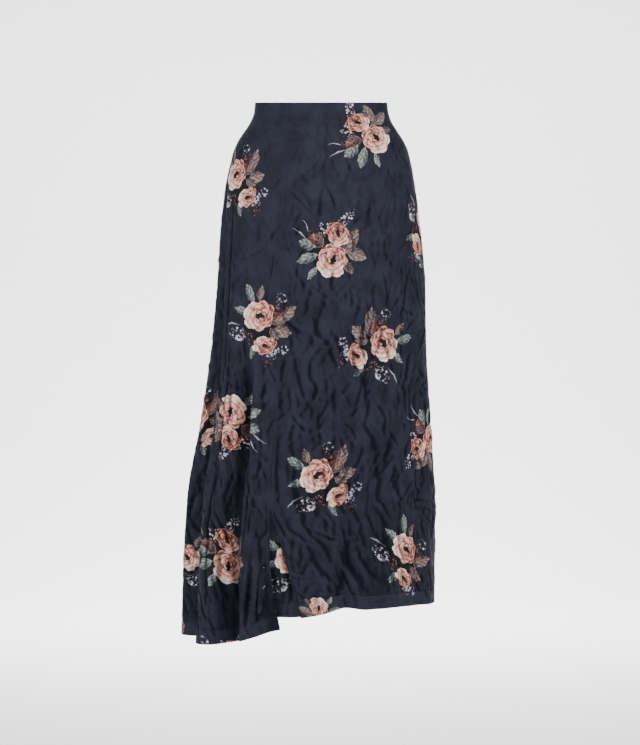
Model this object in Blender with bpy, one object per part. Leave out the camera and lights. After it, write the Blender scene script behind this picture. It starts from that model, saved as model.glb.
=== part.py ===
"""Draped midi skirt: cut cloth panels, an uneven hem, a front slit over an underlap, and a back zip.

Metres, +Z up. The origin is the centre of the waist opening, which the wearer's waist holds.
The wearer faces -Y, so +X is the wearer's left side. A "drop" is a distance down from the waist,
and an "angle" goes round the skirt anticlockwise seen from above: 0 is the wearer's left side,
90 the centre back, 180 the right side and 270 the centre front.
"""
import math
from collections import namedtuple

import bmesh
import bpy
import numpy as np
from mathutils import Matrix, Vector

MM = 0.001

# Cloth
WALL = 1.2 * MM
HEM_WALL = 2.0 * MM
HEM_DEPTH = 25.0 * MM
HEM_STEP = 2.0 * MM
SEAM_GAP = 0.3 * MM
SEWN_GAP = 0.6 * MM

# Heights
WAIST_TILT = 0.1227
HIP_DROP = 0.20
KNEE_DROP = 0.60
HEM_DROP = 0.95
SLIT_DROP = 0.7286
RING_DROPS = (0.022, 0.036, 0.052, 0.070, 0.092, 0.116, 0.150, 0.200, 0.250, 0.300,
              0.360, 0.420, 0.480, 0.540, 0.600, 0.665, SLIT_DROP)
LOWER_SHARES = (1 / 3, 2 / 3, 1.0)
TOP_SHARE = 0.55

# How far the cloth reaches from the origin at each drop, to the wearer's right (-X), left (+X),
# front (-Y) and back (+Y), before the folds.
Section = namedtuple("Section", "drop right left front back")
SECTIONS = (
    Section(0.000, 0.1200, 0.1205, 0.0920, 0.0920),
    Section(0.020, 0.1223, 0.1232, 0.0935, 0.0940),
    Section(0.036, 0.1284, 0.1286, 0.0970, 0.0985),
    Section(0.053, 0.1394, 0.1392, 0.1020, 0.1050),
    Section(0.070, 0.1508, 0.1502, 0.1065, 0.1115),
    Section(0.091, 0.1600, 0.1590, 0.1105, 0.1180),
    Section(0.113, 0.1658, 0.1645, 0.1135, 0.1240),
    Section(0.156, 0.1745, 0.1720, 0.1170, 0.1310),
    Section(0.200, 0.1800, 0.1776, 0.1190, 0.1345),
    Section(0.266, 0.1855, 0.1852, 0.1210, 0.1365),
    Section(0.353, 0.1909, 0.1905, 0.1240, 0.1390),
    Section(0.440, 0.1990, 0.1918, 0.1275, 0.1420),
    Section(0.549, 0.2145, 0.1976, 0.1330, 0.1480),
    Section(0.636, 0.2291, 0.2032, 0.1380, 0.1540),
    Section(0.724, 0.2436, 0.2082, 0.1430, 0.1600),
    Section(0.811, 0.2496, 0.2076, 0.1480, 0.1660),
    Section(0.900, 0.2527, 0.2070, 0.1520, 0.1710),
    Section(0.980, 0.2545, 0.2068, 0.1550, 0.1740),
)

# Folds: the angle of each one's centre at the hip, knee and hem, its half width in degrees at the
# hip and the hem, the drop where it starts, and how far it stands out (+) or in (-) at the hem.
Fold = namedtuple("Fold", "name hip knee hem width_hip width_hem start depth power")
FOLDS = (
    Fold("right side valley", 194.0, 201.5, 197.5, 5.0, 16.0, 0.144, -0.052, 1.0),
    Fold("right front crest", 214.0, 220.0, 219.0, 8.0, 13.0, 0.300, 0.013, 1.0),
    Fold("right front valley", 228.0, 233.0, 232.5, 4.0, 8.5, 0.470, -0.032, 0.8),
    Fold("slit crest", 246.0, 243.5, 242.0, 6.0, 7.5, 0.520, 0.011, 1.0),
    Fold("slit tuck", 254.0, 254.0, 254.5, 7.0, 11.0, 0.750, -0.018, 1.0),
    Fold("front right valley", 266.0, 266.0, 273.0, 5.0, 6.5, 0.600, -0.008, 0.9),
    Fold("front centre crest", 276.0, 277.0, 279.5, 5.0, 6.0, 0.560, 0.005, 1.0),
    Fold("front centre valley", 289.0, 288.0, 286.5, 6.0, 7.0, 0.500, -0.009, 0.9),
    Fold("front left crest", 296.0, 295.0, 294.0, 5.0, 6.0, 0.540, 0.005, 1.0),
    Fold("front left valley", 300.0, 301.0, 302.0, 6.0, 7.0, 0.480, -0.008, 0.9),
    Fold("left front crest", 312.0, 313.0, 311.0, 7.0, 8.0, 0.440, 0.008, 1.0),
    Fold("left side valley", 330.0, 331.0, 332.0, 9.0, 12.0, 0.400, -0.010, 1.0),
    Fold("back left valley", 22.0, 21.0, 20.0, 8.0, 11.0, 0.380, -0.015, 1.0),
    Fold("back left crest", 38.0, 38.0, 37.0, 8.0, 10.0, 0.420, 0.010, 1.0),
    Fold("back left deep valley", 55.0, 56.0, 57.0, 8.0, 12.0, 0.340, -0.022, 1.0),
    Fold("back left inner crest", 72.0, 73.0, 74.0, 7.0, 9.0, 0.460, 0.009, 1.0),
    Fold("back right valley", 104.0, 106.0, 108.0, 9.0, 12.0, 0.360, -0.024, 1.0),
    Fold("back right crest", 122.0, 125.0, 127.0, 8.0, 11.0, 0.420, 0.012, 1.0),
    Fold("back right deep valley", 140.0, 144.0, 147.0, 8.0, 12.0, 0.320, -0.026, 1.0),
    Fold("back right side crest", 158.0, 162.0, 164.0, 7.0, 10.0, 0.460, 0.006, 1.0),
)

# The hem's drop at each angle. The front panel and the long drape panel are cut to their own lines.
HemPoint = namedtuple("HemPoint", "angle drop")
FRONT_HEM = (
    HemPoint(267.0, 0.9206), HemPoint(273.0, 0.9180), HemPoint(283.0, 0.9075),
    HemPoint(288.0, 0.9045), HemPoint(297.0, 0.9080), HemPoint(303.0, 0.9085),
    HemPoint(312.0, 0.9055), HemPoint(344.0, 0.9080), HemPoint(355.0, 0.9065),
)
BACK_HEM = (
    HemPoint(-5.0, 0.9065), HemPoint(20.0, 0.9160), HemPoint(90.0, 0.9380),
    HemPoint(150.0, 0.9580), HemPoint(180.0, 0.9670), HemPoint(197.5, 0.9700),
)
DRAPE_HEM = (
    HemPoint(197.5, 0.9700), HemPoint(212.0, 0.9730), HemPoint(222.0, 0.9725),
    HemPoint(238.0, 0.9645), HemPoint(246.0, 0.9560), HemPoint(252.0, 0.9480),
    HemPoint(257.4, 0.9435),
)
UNDERLAP_HEM = (HemPoint(247.0, 0.9240), HemPoint(275.0, 0.9180))

# Seams and free edges, as an angle at each drop, or as a place across the front (x) at each drop.
EdgeAngle = namedtuple("EdgeAngle", "drop angle")
EdgePlace = namedtuple("EdgePlace", "drop x")
RIGHT_SIDE_SEAM = (
    EdgeAngle(0.00, 184.0), EdgeAngle(0.10, 189.0), EdgeAngle(0.20, 194.0),
    EdgeAngle(0.36, 196.5), EdgeAngle(0.60, 201.5), EdgeAngle(0.75, 200.8),
    EdgeAngle(0.95, 197.5),
)
LEFT_SIDE_SEAM = (EdgeAngle(0.00, -5.0), EdgeAngle(1.00, -5.0))
CENTRE_BACK_SEAM = (EdgeAngle(0.00, 90.0), EdgeAngle(1.00, 90.0))
FRONT_EDGE = (
    EdgePlace(0.0000, -0.0550), EdgePlace(0.5500, -0.0790), EdgePlace(SLIT_DROP, -0.0898),
    EdgePlace(0.7673, -0.0795), EdgePlace(0.8025, -0.0690), EdgePlace(0.8388, -0.0578),
    EdgePlace(0.8712, -0.0452), EdgePlace(0.9206, -0.0350),
)
DRAPE_EDGE = (
    EdgePlace(0.0000, -0.0550), EdgePlace(0.5500, -0.0790), EdgePlace(SLIT_DROP, -0.0898),
    EdgePlace(0.8300, -0.0915), EdgePlace(0.8900, -0.0860), EdgePlace(0.9435, -0.0748),
)
UNDERLAP_RIGHT_EDGE = (EdgePlace(0.70, -0.1000), EdgePlace(0.78, -0.1080), EdgePlace(0.93, -0.1150))
UNDERLAP_LEFT_EDGE = (EdgePlace(0.70, -0.0760), EdgePlace(0.78, -0.0560), EdgePlace(0.93, -0.0080))

# Slit
FLAP_LIFT = 6.0 * MM
FLAP_LIFT_SPREAD = 9.0
UNDERLAP_TOP = 0.700
UNDERLAP_SINK = 7.0 * MM
UNDERLAP_COLUMNS = 14
UNDERLAP_ROW_SHARES = (0.0, 0.13, 0.32, 0.52, 0.72)

# Zip
ZIP_LENGTH = 0.200
ZIP_TOP = 1.5 * MM
ZIP_MOUTH = 1.0 * MM
TAPE_WIDTH = 11.0 * MM
TAPE_WALL = 0.7 * MM
COIL_WALL = 2.1 * MM
COIL_WIDTH = 2.2 * MM
COIL_TOP = 16.0 * MM
SLIDER_DROP = 7.0 * MM
SLIDER_SIZE = (6.0 * MM, 2.2 * MM, 8.5 * MM)
SLIDER_ROUND = 0.5 * MM
BRIDGE_SIZE = (1.2 * MM, 2.6 * MM, 6.0 * MM)
BRIDGE_ROUND = 1.2 * MM
BRIDGE_SUNK = 1.0 * MM
EYE_SIZE = (1.5 * MM, 1.9 * MM)
PIVOT_OUT = 1.3 * MM
PULL_WALL = 0.9 * MM
PULL_LENGTH = 15.0 * MM
PULL_TOP_WIDTH = 4.6 * MM
PULL_FOOT_WIDTH = 6.4 * MM
PULL_WINDOW = (2.0 * MM, 3.6 * MM)
PULL_REACH = 17.0 * MM

# Colours from the photograph, as linear values, with roughness and metallic
Finish = namedtuple("Finish", "colour roughness metallic")
SATIN = Finish((0.027, 0.030, 0.045), 0.42, 0.0)
TAPE = Finish((0.016, 0.018, 0.030), 0.80, 0.0)
ENAMEL = Finish((0.030, 0.033, 0.048), 0.35, 0.6)


def clear_scene():
    """Remove whatever the file opened with."""
    for item in list(bpy.data.objects):
        bpy.data.objects.remove(item, do_unlink=True)


def smooth_values(at, knots, values):
    """Curve through the rows of a table that never swings past them."""
    knots = np.asarray(knots, float)
    values = np.asarray(values, float)
    steps = np.diff(knots)
    rises = np.diff(values) / steps
    slopes = np.zeros_like(values)
    slopes[0] = rises[0]
    slopes[-1] = rises[-1]
    for i in range(1, len(values) - 1):
        if rises[i - 1] * rises[i] > 0:
            slopes[i] = 2 * rises[i - 1] * rises[i] / (rises[i - 1] + rises[i])
    at = np.clip(at, knots[0], knots[-1])
    i = np.clip(np.searchsorted(knots, at, side="right") - 1, 0, len(steps) - 1)
    s = (at - knots[i]) / steps[i]
    return ((1 + 2 * s) * (1 - s) ** 2 * values[i] + s * (1 - s) ** 2 * steps[i] * slopes[i]
            + s * s * (3 - 2 * s) * values[i + 1] + s * s * (s - 1) * steps[i] * slopes[i + 1])


def column(rows, name):
    """One named column of a table."""
    return np.array([getattr(row, name) for row in rows])


def section_at(drop):
    """Centre and half widths of the plain section at a drop."""
    right, left, front, back = (smooth_values(drop, column(SECTIONS, "drop"), column(SECTIONS, side))
                                for side in ("right", "left", "front", "back"))
    return (left - right) / 2, (back - front) / 2, (left + right) / 2, (back + front) / 2


def fold_offset(angle, drop):
    """How far the folds carry the cloth out from the plain section."""
    total = np.zeros_like(angle + drop)
    for fold in FOLDS:
        centre = smooth_values(drop, (HIP_DROP, KNEE_DROP, HEM_DROP), (fold.hip, fold.knee, fold.hem))
        width = np.interp(drop, (HIP_DROP, HEM_DROP), (fold.width_hip, fold.width_hem))
        away = (angle - centre + 180) % 360 - 180
        growth = np.clip((drop - fold.start) / (HEM_DROP - fold.start), 0, None) ** fold.power
        total += fold.depth * growth * (1 + np.cos(np.pi * np.clip(away / width, -1, 1))) / 2
    return total


def cloth_points(angle, drop, out):
    """Points of the cloth's outer face, moved out by the given distance."""
    centre_x, centre_y, half_x, half_y = section_at(drop)
    across = np.cos(np.radians(angle))
    along = np.sin(np.radians(angle))
    length = np.hypot(across / half_x, along / half_y)
    offset = fold_offset(angle, drop) + out(angle, drop)
    x = centre_x + half_x * across + across / half_x / length * offset
    y = centre_y + half_y * along + along / half_y / length * offset
    return np.stack([x, y, -drop + 0 * x], axis=-1)


def cloth_normals(angle, drop, out):
    """Unit normals of the outer face, pointing out."""
    turn = 0.2
    step = 1.0 * MM
    around = cloth_points(angle + turn, drop, out) - cloth_points(angle - turn, drop, out)
    down = cloth_points(angle, drop + step, out) - cloth_points(angle, drop - step, out)
    normal = np.cross(down, around)
    return normal / np.linalg.norm(normal, axis=-1, keepdims=True)


def level(angle, drop):
    """No distance from the cloth's own face."""
    return np.zeros_like(angle + drop)


def front_angle(x, drop):
    """Angle of the front point that lies at x."""
    centre_x, _, half_x, _ = section_at(drop)
    return 360.0 - np.degrees(np.arccos(np.clip((x - centre_x) / half_x, -1, 1)))


def edge_angle(edge, drop):
    """Angle of a seam or a free edge at a drop."""
    if isinstance(edge[0], EdgeAngle):
        return smooth_values(drop, column(edge, "drop"), column(edge, "angle"))
    return front_angle(np.interp(drop, column(edge, "drop"), column(edge, "x")), drop)


def inset_edge(edge, drop, distance):
    """Angle of a seam moved along the cloth by a distance."""
    angle = edge_angle(edge, drop)
    turn = 0.2
    span = cloth_points(angle + turn, drop, level) - cloth_points(angle - turn, drop, level)
    return angle + distance / (np.linalg.norm(span, axis=-1) / (2 * turn))


def waist_drop(angle):
    """Drop of the waist edge, which dips in a straight line towards the front."""
    _, _, _, half_y = section_at(0.0)
    return WAIST_TILT * half_y * np.clip(-np.sin(np.radians(angle)), 0, None)


def row_drops(angle_top, hem):
    """Drops of all the rows of one column, from the waist edge to the hem."""
    top = waist_drop(angle_top)
    first = top + TOP_SHARE * (RING_DROPS[0] - top)
    lower_end = hem - HEM_DEPTH - HEM_STEP
    lower = [SLIT_DROP + share * (lower_end - SLIT_DROP) for share in LOWER_SHARES]
    return np.array([top, first, *RING_DROPS, *lower, hem - HEM_DEPTH, hem])


def seam_half_gap(edge, drop):
    """Half the gap at a seam. The back seam opens at its top for the zip's slider."""
    if edge is not CENTRE_BACK_SEAM:
        return SEAM_GAP / 2 + 0 * drop
    closed = RING_DROPS[0]
    return np.interp(drop, (TOP_SHARE * closed, closed), (ZIP_MOUTH, SEAM_GAP / 2))


def wall_object(name, outer, inner, finish):
    """Closed wall between two grids of points, one row of the grids for each ring."""
    mesh = bmesh.new()
    faces = [[[mesh.verts.new(point) for point in line] for line in grid] for grid in (outer, inner)]
    rows, columns = outer.shape[:2]
    for r in range(rows - 1):
        for c in range(columns - 1):
            for side, grid in enumerate(faces):
                corners = [grid[r][c], grid[r + 1][c], grid[r + 1][c + 1], grid[r][c + 1]]
                mesh.faces.new(corners if side == 0 else corners[::-1])
    front, rear = faces
    for c in range(columns - 1):
        mesh.faces.new([front[0][c], front[0][c + 1], rear[0][c + 1], rear[0][c]])
        mesh.faces.new([front[-1][c + 1], front[-1][c], rear[-1][c], rear[-1][c + 1]])
    for r in range(rows - 1):
        mesh.faces.new([front[r + 1][0], front[r][0], rear[r][0], rear[r + 1][0]])
        mesh.faces.new([front[r][-1], front[r + 1][-1], rear[r + 1][-1], rear[r][-1]])
    bmesh.ops.triangulate(mesh, faces=mesh.faces[:])
    return mesh_object(name, mesh, finish)


def mesh_object(name, mesh, finish):
    """Object from a bmesh, shaded smooth between its sharp edges, with its own material."""
    data = bpy.data.meshes.new(name)
    mesh.to_mesh(data)
    mesh.free()
    data.shade_smooth()
    data.set_sharp_from_angle(angle=math.radians(40))
    data.materials.append(material(name, finish))
    item = bpy.data.objects.new(name, data)
    bpy.context.collection.objects.link(item)
    return item


def material(name, finish):
    """Principled material with a sub-part's colour, roughness and metallic value."""
    result = bpy.data.materials.new(name)
    result.use_nodes = True
    shader = result.node_tree.nodes["Principled BSDF"]
    shader.inputs["Base Color"].default_value = (*finish.colour, 1.0)
    shader.inputs["Roughness"].default_value = finish.roughness
    shader.inputs["Metallic"].default_value = finish.metallic
    return result


def panel(name, start, end, columns, hem, out=level):
    """Cloth panel from one seam or free edge to the next, down to its own hem."""
    shares = np.linspace(0, 1, columns)
    hem_start, hem_end = (edge_angle(edge, hem[i].drop) for edge, i in ((start, 0), (end, -1)))
    hem_angles = hem_start + (hem_end - hem_start) % 360 * shares
    hems = smooth_values(hem_angles, column(hem, "angle"), column(hem, "drop"))
    top_start = edge_angle(start, 0.0)
    top_angles = top_start + (edge_angle(end, 0.0) - top_start) % 360 * shares
    drops = np.array([row_drops(*pair) for pair in zip(top_angles, hems)]).T
    starts = inset_edge(start, drops, seam_half_gap(start, drops))
    ends = inset_edge(end, drops, -seam_half_gap(end, drops))
    angles = starts + (ends - starts) % 360 * shares
    outer = cloth_points(angles, drops, out)
    walls = np.full(len(drops), WALL)
    walls[-2:] = HEM_WALL
    inner = outer - cloth_normals(angles, drops, out) * walls[:, None, None]
    return wall_object(name, outer, inner, SATIN)


def flap_lift(angle, drop):
    """The front panel stands off at the free edge of the slit, most at its corner."""
    from_edge = angle - edge_angle(FRONT_EDGE, drop)
    growth = np.clip((drop - SLIT_DROP) / (FRONT_EDGE[-1].drop - SLIT_DROP), 0, 1)
    return FLAP_LIFT * growth * np.exp(-(from_edge / FLAP_LIFT_SPREAD) ** 2)


def underlap_sink(angle, drop):
    """The underlap is sewn in behind the slit's top and hangs further back towards its hem."""
    growth = np.clip((drop - UNDERLAP_TOP) / (HEM_DROP - UNDERLAP_TOP), 0, None)
    return -(WALL + SEWN_GAP + UNDERLAP_SINK * growth) + 0 * angle


def underlap():
    """Strip that closes the slit from behind."""
    shares = np.linspace(0, 1, UNDERLAP_COLUMNS)
    hem_angles = UNDERLAP_HEM[0].angle + (UNDERLAP_HEM[-1].angle - UNDERLAP_HEM[0].angle) * shares
    hems = np.interp(hem_angles, column(UNDERLAP_HEM, "angle"), column(UNDERLAP_HEM, "drop"))
    body = [UNDERLAP_TOP + share * (hems - HEM_DEPTH - UNDERLAP_TOP) for share in UNDERLAP_ROW_SHARES]
    drops = np.array([*body, hems - HEM_DEPTH - HEM_STEP, hems - HEM_DEPTH, hems])
    starts = edge_angle(UNDERLAP_RIGHT_EDGE, drops)
    ends = edge_angle(UNDERLAP_LEFT_EDGE, drops)
    angles = starts + (ends - starts) * shares
    outer = cloth_points(angles, drops, underlap_sink)
    walls = np.full(len(drops), WALL)
    walls[-2:] = HEM_WALL
    inner = outer - cloth_normals(angles, drops, underlap_sink) * walls[:, None, None]
    return wall_object("slit_underlap", outer, inner, SATIN)


def zip_tape(name, side):
    """Half of the closed zip: a tape inside the back seam, with its half of the coil on the edge."""
    across = np.array([0.0, COIL_WIDTH, COIL_WIDTH + SEAM_GAP, TAPE_WIDTH])
    rings = [drop for drop in RING_DROPS if COIL_TOP + MM < drop < ZIP_LENGTH]
    mouth = TOP_SHARE * RING_DROPS[0]
    lines = np.array([ZIP_TOP, mouth, COIL_TOP, COIL_TOP + SEAM_GAP, *rings, ZIP_LENGTH])
    drops = lines[:, None] + 0 * across
    along = side * (across + seam_half_gap(CENTRE_BACK_SEAM, drops))
    angles = inset_edge(CENTRE_BACK_SEAM, drops, along)
    walls = np.full(drops.shape, TAPE_WALL)
    walls[3:, :2] = COIL_WALL
    face = cloth_points(angles, drops, level)
    normals = cloth_normals(angles, drops, level)
    outer = face - normals * (WALL + SEAM_GAP)
    inner = outer - normals * walls[..., None]
    if side > 0:
        return wall_object(name, outer, inner, TAPE)
    return wall_object(name, outer[:, ::-1], inner[:, ::-1], TAPE)


def zip_frame():
    """Place of the slider: on the back seam, with its own up along the cloth and +Y out of it."""
    seam = np.array([CENTRE_BACK_SEAM[0].angle])
    upper, lower = (Vector(cloth_points(seam, np.array([drop]), level)[0])
                    for drop in (SLIDER_DROP, SLIDER_DROP + PULL_REACH))
    up = (upper - lower).normalized()
    across = Vector((1, 0, 0))
    out = up.cross(across)
    turn = Matrix((across, out, up)).transposed().to_4x4()
    return Matrix.Translation(upper) @ turn


def block(size, centre):
    """Box as a bmesh, from its size and its centre."""
    mesh = bmesh.new()
    bmesh.ops.create_cube(mesh, size=1.0)
    bmesh.ops.scale(mesh, vec=size, verts=mesh.verts)
    bmesh.ops.translate(mesh, vec=centre, verts=mesh.verts)
    return mesh


def boolean(item, tool, operation):
    """Join or cut a piece with a tool that isn't itself a sub-part."""
    tool.hide_render = True
    tool.display_type = "WIRE"
    modifier = item.modifiers.new(operation.lower(), "BOOLEAN")
    modifier.operation = operation
    modifier.object = tool
    return item


def zip_slider(frame):
    """Slider inside the coil, with a bridge through the seam that holds the pull."""
    depth = WALL + SEAM_GAP + TAPE_WALL + SEAM_GAP
    body = block(SLIDER_SIZE, (0, -depth - SLIDER_SIZE[1] / 2, 0))
    bmesh.ops.bevel(body, geom=body.edges[:], offset=SLIDER_ROUND, segments=2, affect="EDGES")
    slider = mesh_object("zip_slider", body, ENAMEL)
    reach = BRIDGE_SIZE[1] + depth + BRIDGE_SUNK
    arch = block((BRIDGE_SIZE[0], reach, BRIDGE_SIZE[2]), (0, BRIDGE_SIZE[1] - reach / 2, 0))
    outer_edges = [edge for edge in arch.edges if all(vert.co.y > 0 for vert in edge.verts)]
    crown = [edge for edge in outer_edges if edge.verts[0].co.z == edge.verts[1].co.z]
    bmesh.ops.bevel(arch, geom=crown, offset=BRIDGE_ROUND, segments=3, affect="EDGES")
    boolean(slider, mesh_object("zip_bridge", arch, ENAMEL), "UNION")
    eye = block((BRIDGE_SIZE[0] * 2, EYE_SIZE[0], EYE_SIZE[1]), (0, PIVOT_OUT, 0))
    boolean(slider, mesh_object("zip_eye", eye, ENAMEL), "DIFFERENCE")
    for item in (slider, bpy.data.objects["zip_bridge"], bpy.data.objects["zip_eye"]):
        item.matrix_world = frame
    return slider


def pull_outline():
    """Drop-shaped outline of the pull, from its bar down round the foot and back."""
    top = PULL_WALL / 2
    half = PULL_TOP_WIDTH / 2
    foot = PULL_FOOT_WIDTH / 2
    centre = top - PULL_LENGTH + foot
    turns = np.radians(np.linspace(0, -180, 13))
    arc = [(foot * math.cos(turn), centre + foot * math.sin(turn)) for turn in turns]
    return [(half, top), *arc, (-half, top)]


def zip_pull(frame):
    """Pull tab, hung by its bar in the slider's bridge."""
    plate = bmesh.new()
    outline = [plate.verts.new((x, 0, z)) for x, z in pull_outline()]
    face = plate.faces.new(outline)
    raised = bmesh.ops.extrude_face_region(plate, geom=[face])["geom"]
    front = [part for part in raised if isinstance(part, bmesh.types.BMVert)]
    bmesh.ops.translate(plate, vec=(0, PULL_WALL, 0), verts=front)
    bmesh.ops.translate(plate, vec=(0, -PULL_WALL / 2, 0), verts=plate.verts)
    bmesh.ops.recalc_face_normals(plate, faces=plate.faces)
    pull = mesh_object("zip_pull", plate, ENAMEL)
    width, height = PULL_WINDOW
    window = block((width, 2 * PULL_WALL, height), (0, 0, -PULL_WALL / 2 - height / 2))
    boolean(pull, mesh_object("pull_window", window, ENAMEL), "DIFFERENCE")
    for item in (pull, bpy.data.objects["pull_window"]):
        item.matrix_world = frame @ Matrix.Translation((0, PIVOT_OUT, 0))
    return pull


def build_skirt():
    """All the panels, seam by seam round the skirt, and the zip in the back seam."""
    panel("front_panel", FRONT_EDGE, LEFT_SIDE_SEAM, 37, FRONT_HEM, flap_lift)
    panel("drape_panel", RIGHT_SIDE_SEAM, DRAPE_EDGE, 37, DRAPE_HEM)
    panel("back_left_panel", LEFT_SIDE_SEAM, CENTRE_BACK_SEAM, 31, BACK_HEM)
    panel("back_right_panel", CENTRE_BACK_SEAM, RIGHT_SIDE_SEAM, 37, BACK_HEM)
    underlap()
    zip_tape("zip_tape_left", -1)
    zip_tape("zip_tape_right", 1)
    frame = zip_frame()
    zip_slider(frame)
    zip_pull(frame)


clear_scene()
build_skirt()
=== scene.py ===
"""Looks of the draped midi skirt: crushed, rose-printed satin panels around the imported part.

Metres, +Z up. The origin is the centre of the waist opening, and the front faces -Y. A "drop" is a
distance down from the waist. An "angle" goes round the skirt anticlockwise seen from above: 0 is the
left side as worn, 90 the centre back, 180 the right side and 270 the centre front. On the cloth,
"across" runs to the right seen from outside, and "down" runs down the cloth.
"""
from __future__ import annotations

import logging
import math
from dataclasses import dataclass, field
from enum import Enum
from typing import Callable, Sequence, Union

import bmesh
import bpy
import numpy as np
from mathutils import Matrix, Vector

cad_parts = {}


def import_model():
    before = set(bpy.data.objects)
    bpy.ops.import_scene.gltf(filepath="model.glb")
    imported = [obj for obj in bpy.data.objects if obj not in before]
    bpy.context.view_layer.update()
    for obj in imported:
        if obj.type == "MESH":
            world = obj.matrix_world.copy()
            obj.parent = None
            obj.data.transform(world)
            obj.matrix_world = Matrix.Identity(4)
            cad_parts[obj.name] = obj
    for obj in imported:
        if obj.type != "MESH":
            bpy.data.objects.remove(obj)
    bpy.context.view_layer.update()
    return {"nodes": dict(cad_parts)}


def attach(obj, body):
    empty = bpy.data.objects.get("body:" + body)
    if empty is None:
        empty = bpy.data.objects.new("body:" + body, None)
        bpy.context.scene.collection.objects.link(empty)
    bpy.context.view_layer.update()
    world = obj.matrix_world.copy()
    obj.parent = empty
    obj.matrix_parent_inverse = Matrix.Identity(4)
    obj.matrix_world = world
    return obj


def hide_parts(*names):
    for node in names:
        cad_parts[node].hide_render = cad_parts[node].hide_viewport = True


LOG = logging.getLogger("midi_skirt")
MM = 0.001
CM = 0.01

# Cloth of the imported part
WALL = 1.2 * MM
HEM_DEPTH = 25.0 * MM
SEAM_GAP = 0.3 * MM
SEWN_GAP = 0.6 * MM
HIP_DROP = 0.20
KNEE_DROP = 0.60
HEM_DROP = 0.95
SLIT_DROP = 0.7286
WAIST_TILT = 0.1227

# Shade in the core of a valley: from which depth, to which, on how much of the fold, and how dark
VALLEY_SHALLOW = 8.0 * MM
VALLEY_SPAN = 10.0 * MM
VALLEY_EDGE = 0.62
VALLEY_CORE = 0.30
VALLEY_DARK = 0.9

Colour = tuple[float, float, float]
Offset = Callable[[np.ndarray, np.ndarray], np.ndarray]


# ---------------------------------------------------------------- pieces in the scene


def in_scene(name: str, data: bpy.types.ID) -> bpy.types.Object:
    """New object in the scene, at the origin.

    Args:
        name: its name.
        data: its mesh, curve, lamp or camera.

    Returns:
        The object.
    """
    item = bpy.data.objects.new(name, data)
    bpy.context.scene.collection.objects.link(item)
    return item


def join_skirt(piece: bpy.types.Object) -> None:
    """Put a piece on the skirt's body, and report it.

    Args:
        piece: the piece's object.
    """
    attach(piece, "skirt")
    LOG.info("%s: %d faces", piece.name, len(piece.data.polygons))


# ---------------------------------------------------------------- worn form of the skirt


@dataclass(frozen=True)
class Section:
    """How far the cloth reaches from the origin at a drop, before the folds."""

    drop: float
    right: float
    left: float
    front: float
    back: float


@dataclass(frozen=True)
class Fold:
    """A large fold: its angles and half widths, its start, and how far it stands out at the hem."""

    name: str
    hip: float
    knee: float
    hem: float
    width_hip: float
    width_hem: float
    start: float
    depth: float
    power: float


@dataclass(frozen=True)
class EdgeAngle:
    """A seam's angle at a drop."""

    drop: float
    angle: float


@dataclass(frozen=True)
class EdgePlace:
    """A front seam's or edge's place across the front at a drop."""

    drop: float
    x: float


@dataclass(frozen=True)
class HemPoint:
    """The hem's drop at an angle."""

    angle: float
    drop: float


Edge = Sequence[Union[EdgeAngle, EdgePlace]]

SECTIONS = (
    Section(0.000, 0.1200, 0.1205, 0.0920, 0.0920),
    Section(0.020, 0.1223, 0.1232, 0.0935, 0.0940),
    Section(0.036, 0.1284, 0.1286, 0.0970, 0.0985),
    Section(0.053, 0.1394, 0.1392, 0.1020, 0.1050),
    Section(0.070, 0.1508, 0.1502, 0.1065, 0.1115),
    Section(0.091, 0.1600, 0.1590, 0.1105, 0.1180),
    Section(0.113, 0.1658, 0.1645, 0.1135, 0.1240),
    Section(0.156, 0.1745, 0.1720, 0.1170, 0.1310),
    Section(0.200, 0.1800, 0.1776, 0.1190, 0.1345),
    Section(0.266, 0.1855, 0.1852, 0.1210, 0.1365),
    Section(0.353, 0.1909, 0.1905, 0.1240, 0.1390),
    Section(0.440, 0.1990, 0.1918, 0.1275, 0.1420),
    Section(0.549, 0.2145, 0.1976, 0.1330, 0.1480),
    Section(0.636, 0.2291, 0.2032, 0.1380, 0.1540),
    Section(0.724, 0.2436, 0.2082, 0.1430, 0.1600),
    Section(0.811, 0.2496, 0.2076, 0.1480, 0.1660),
    Section(0.900, 0.2527, 0.2070, 0.1520, 0.1710),
    Section(0.980, 0.2545, 0.2068, 0.1550, 0.1740),
)
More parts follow.
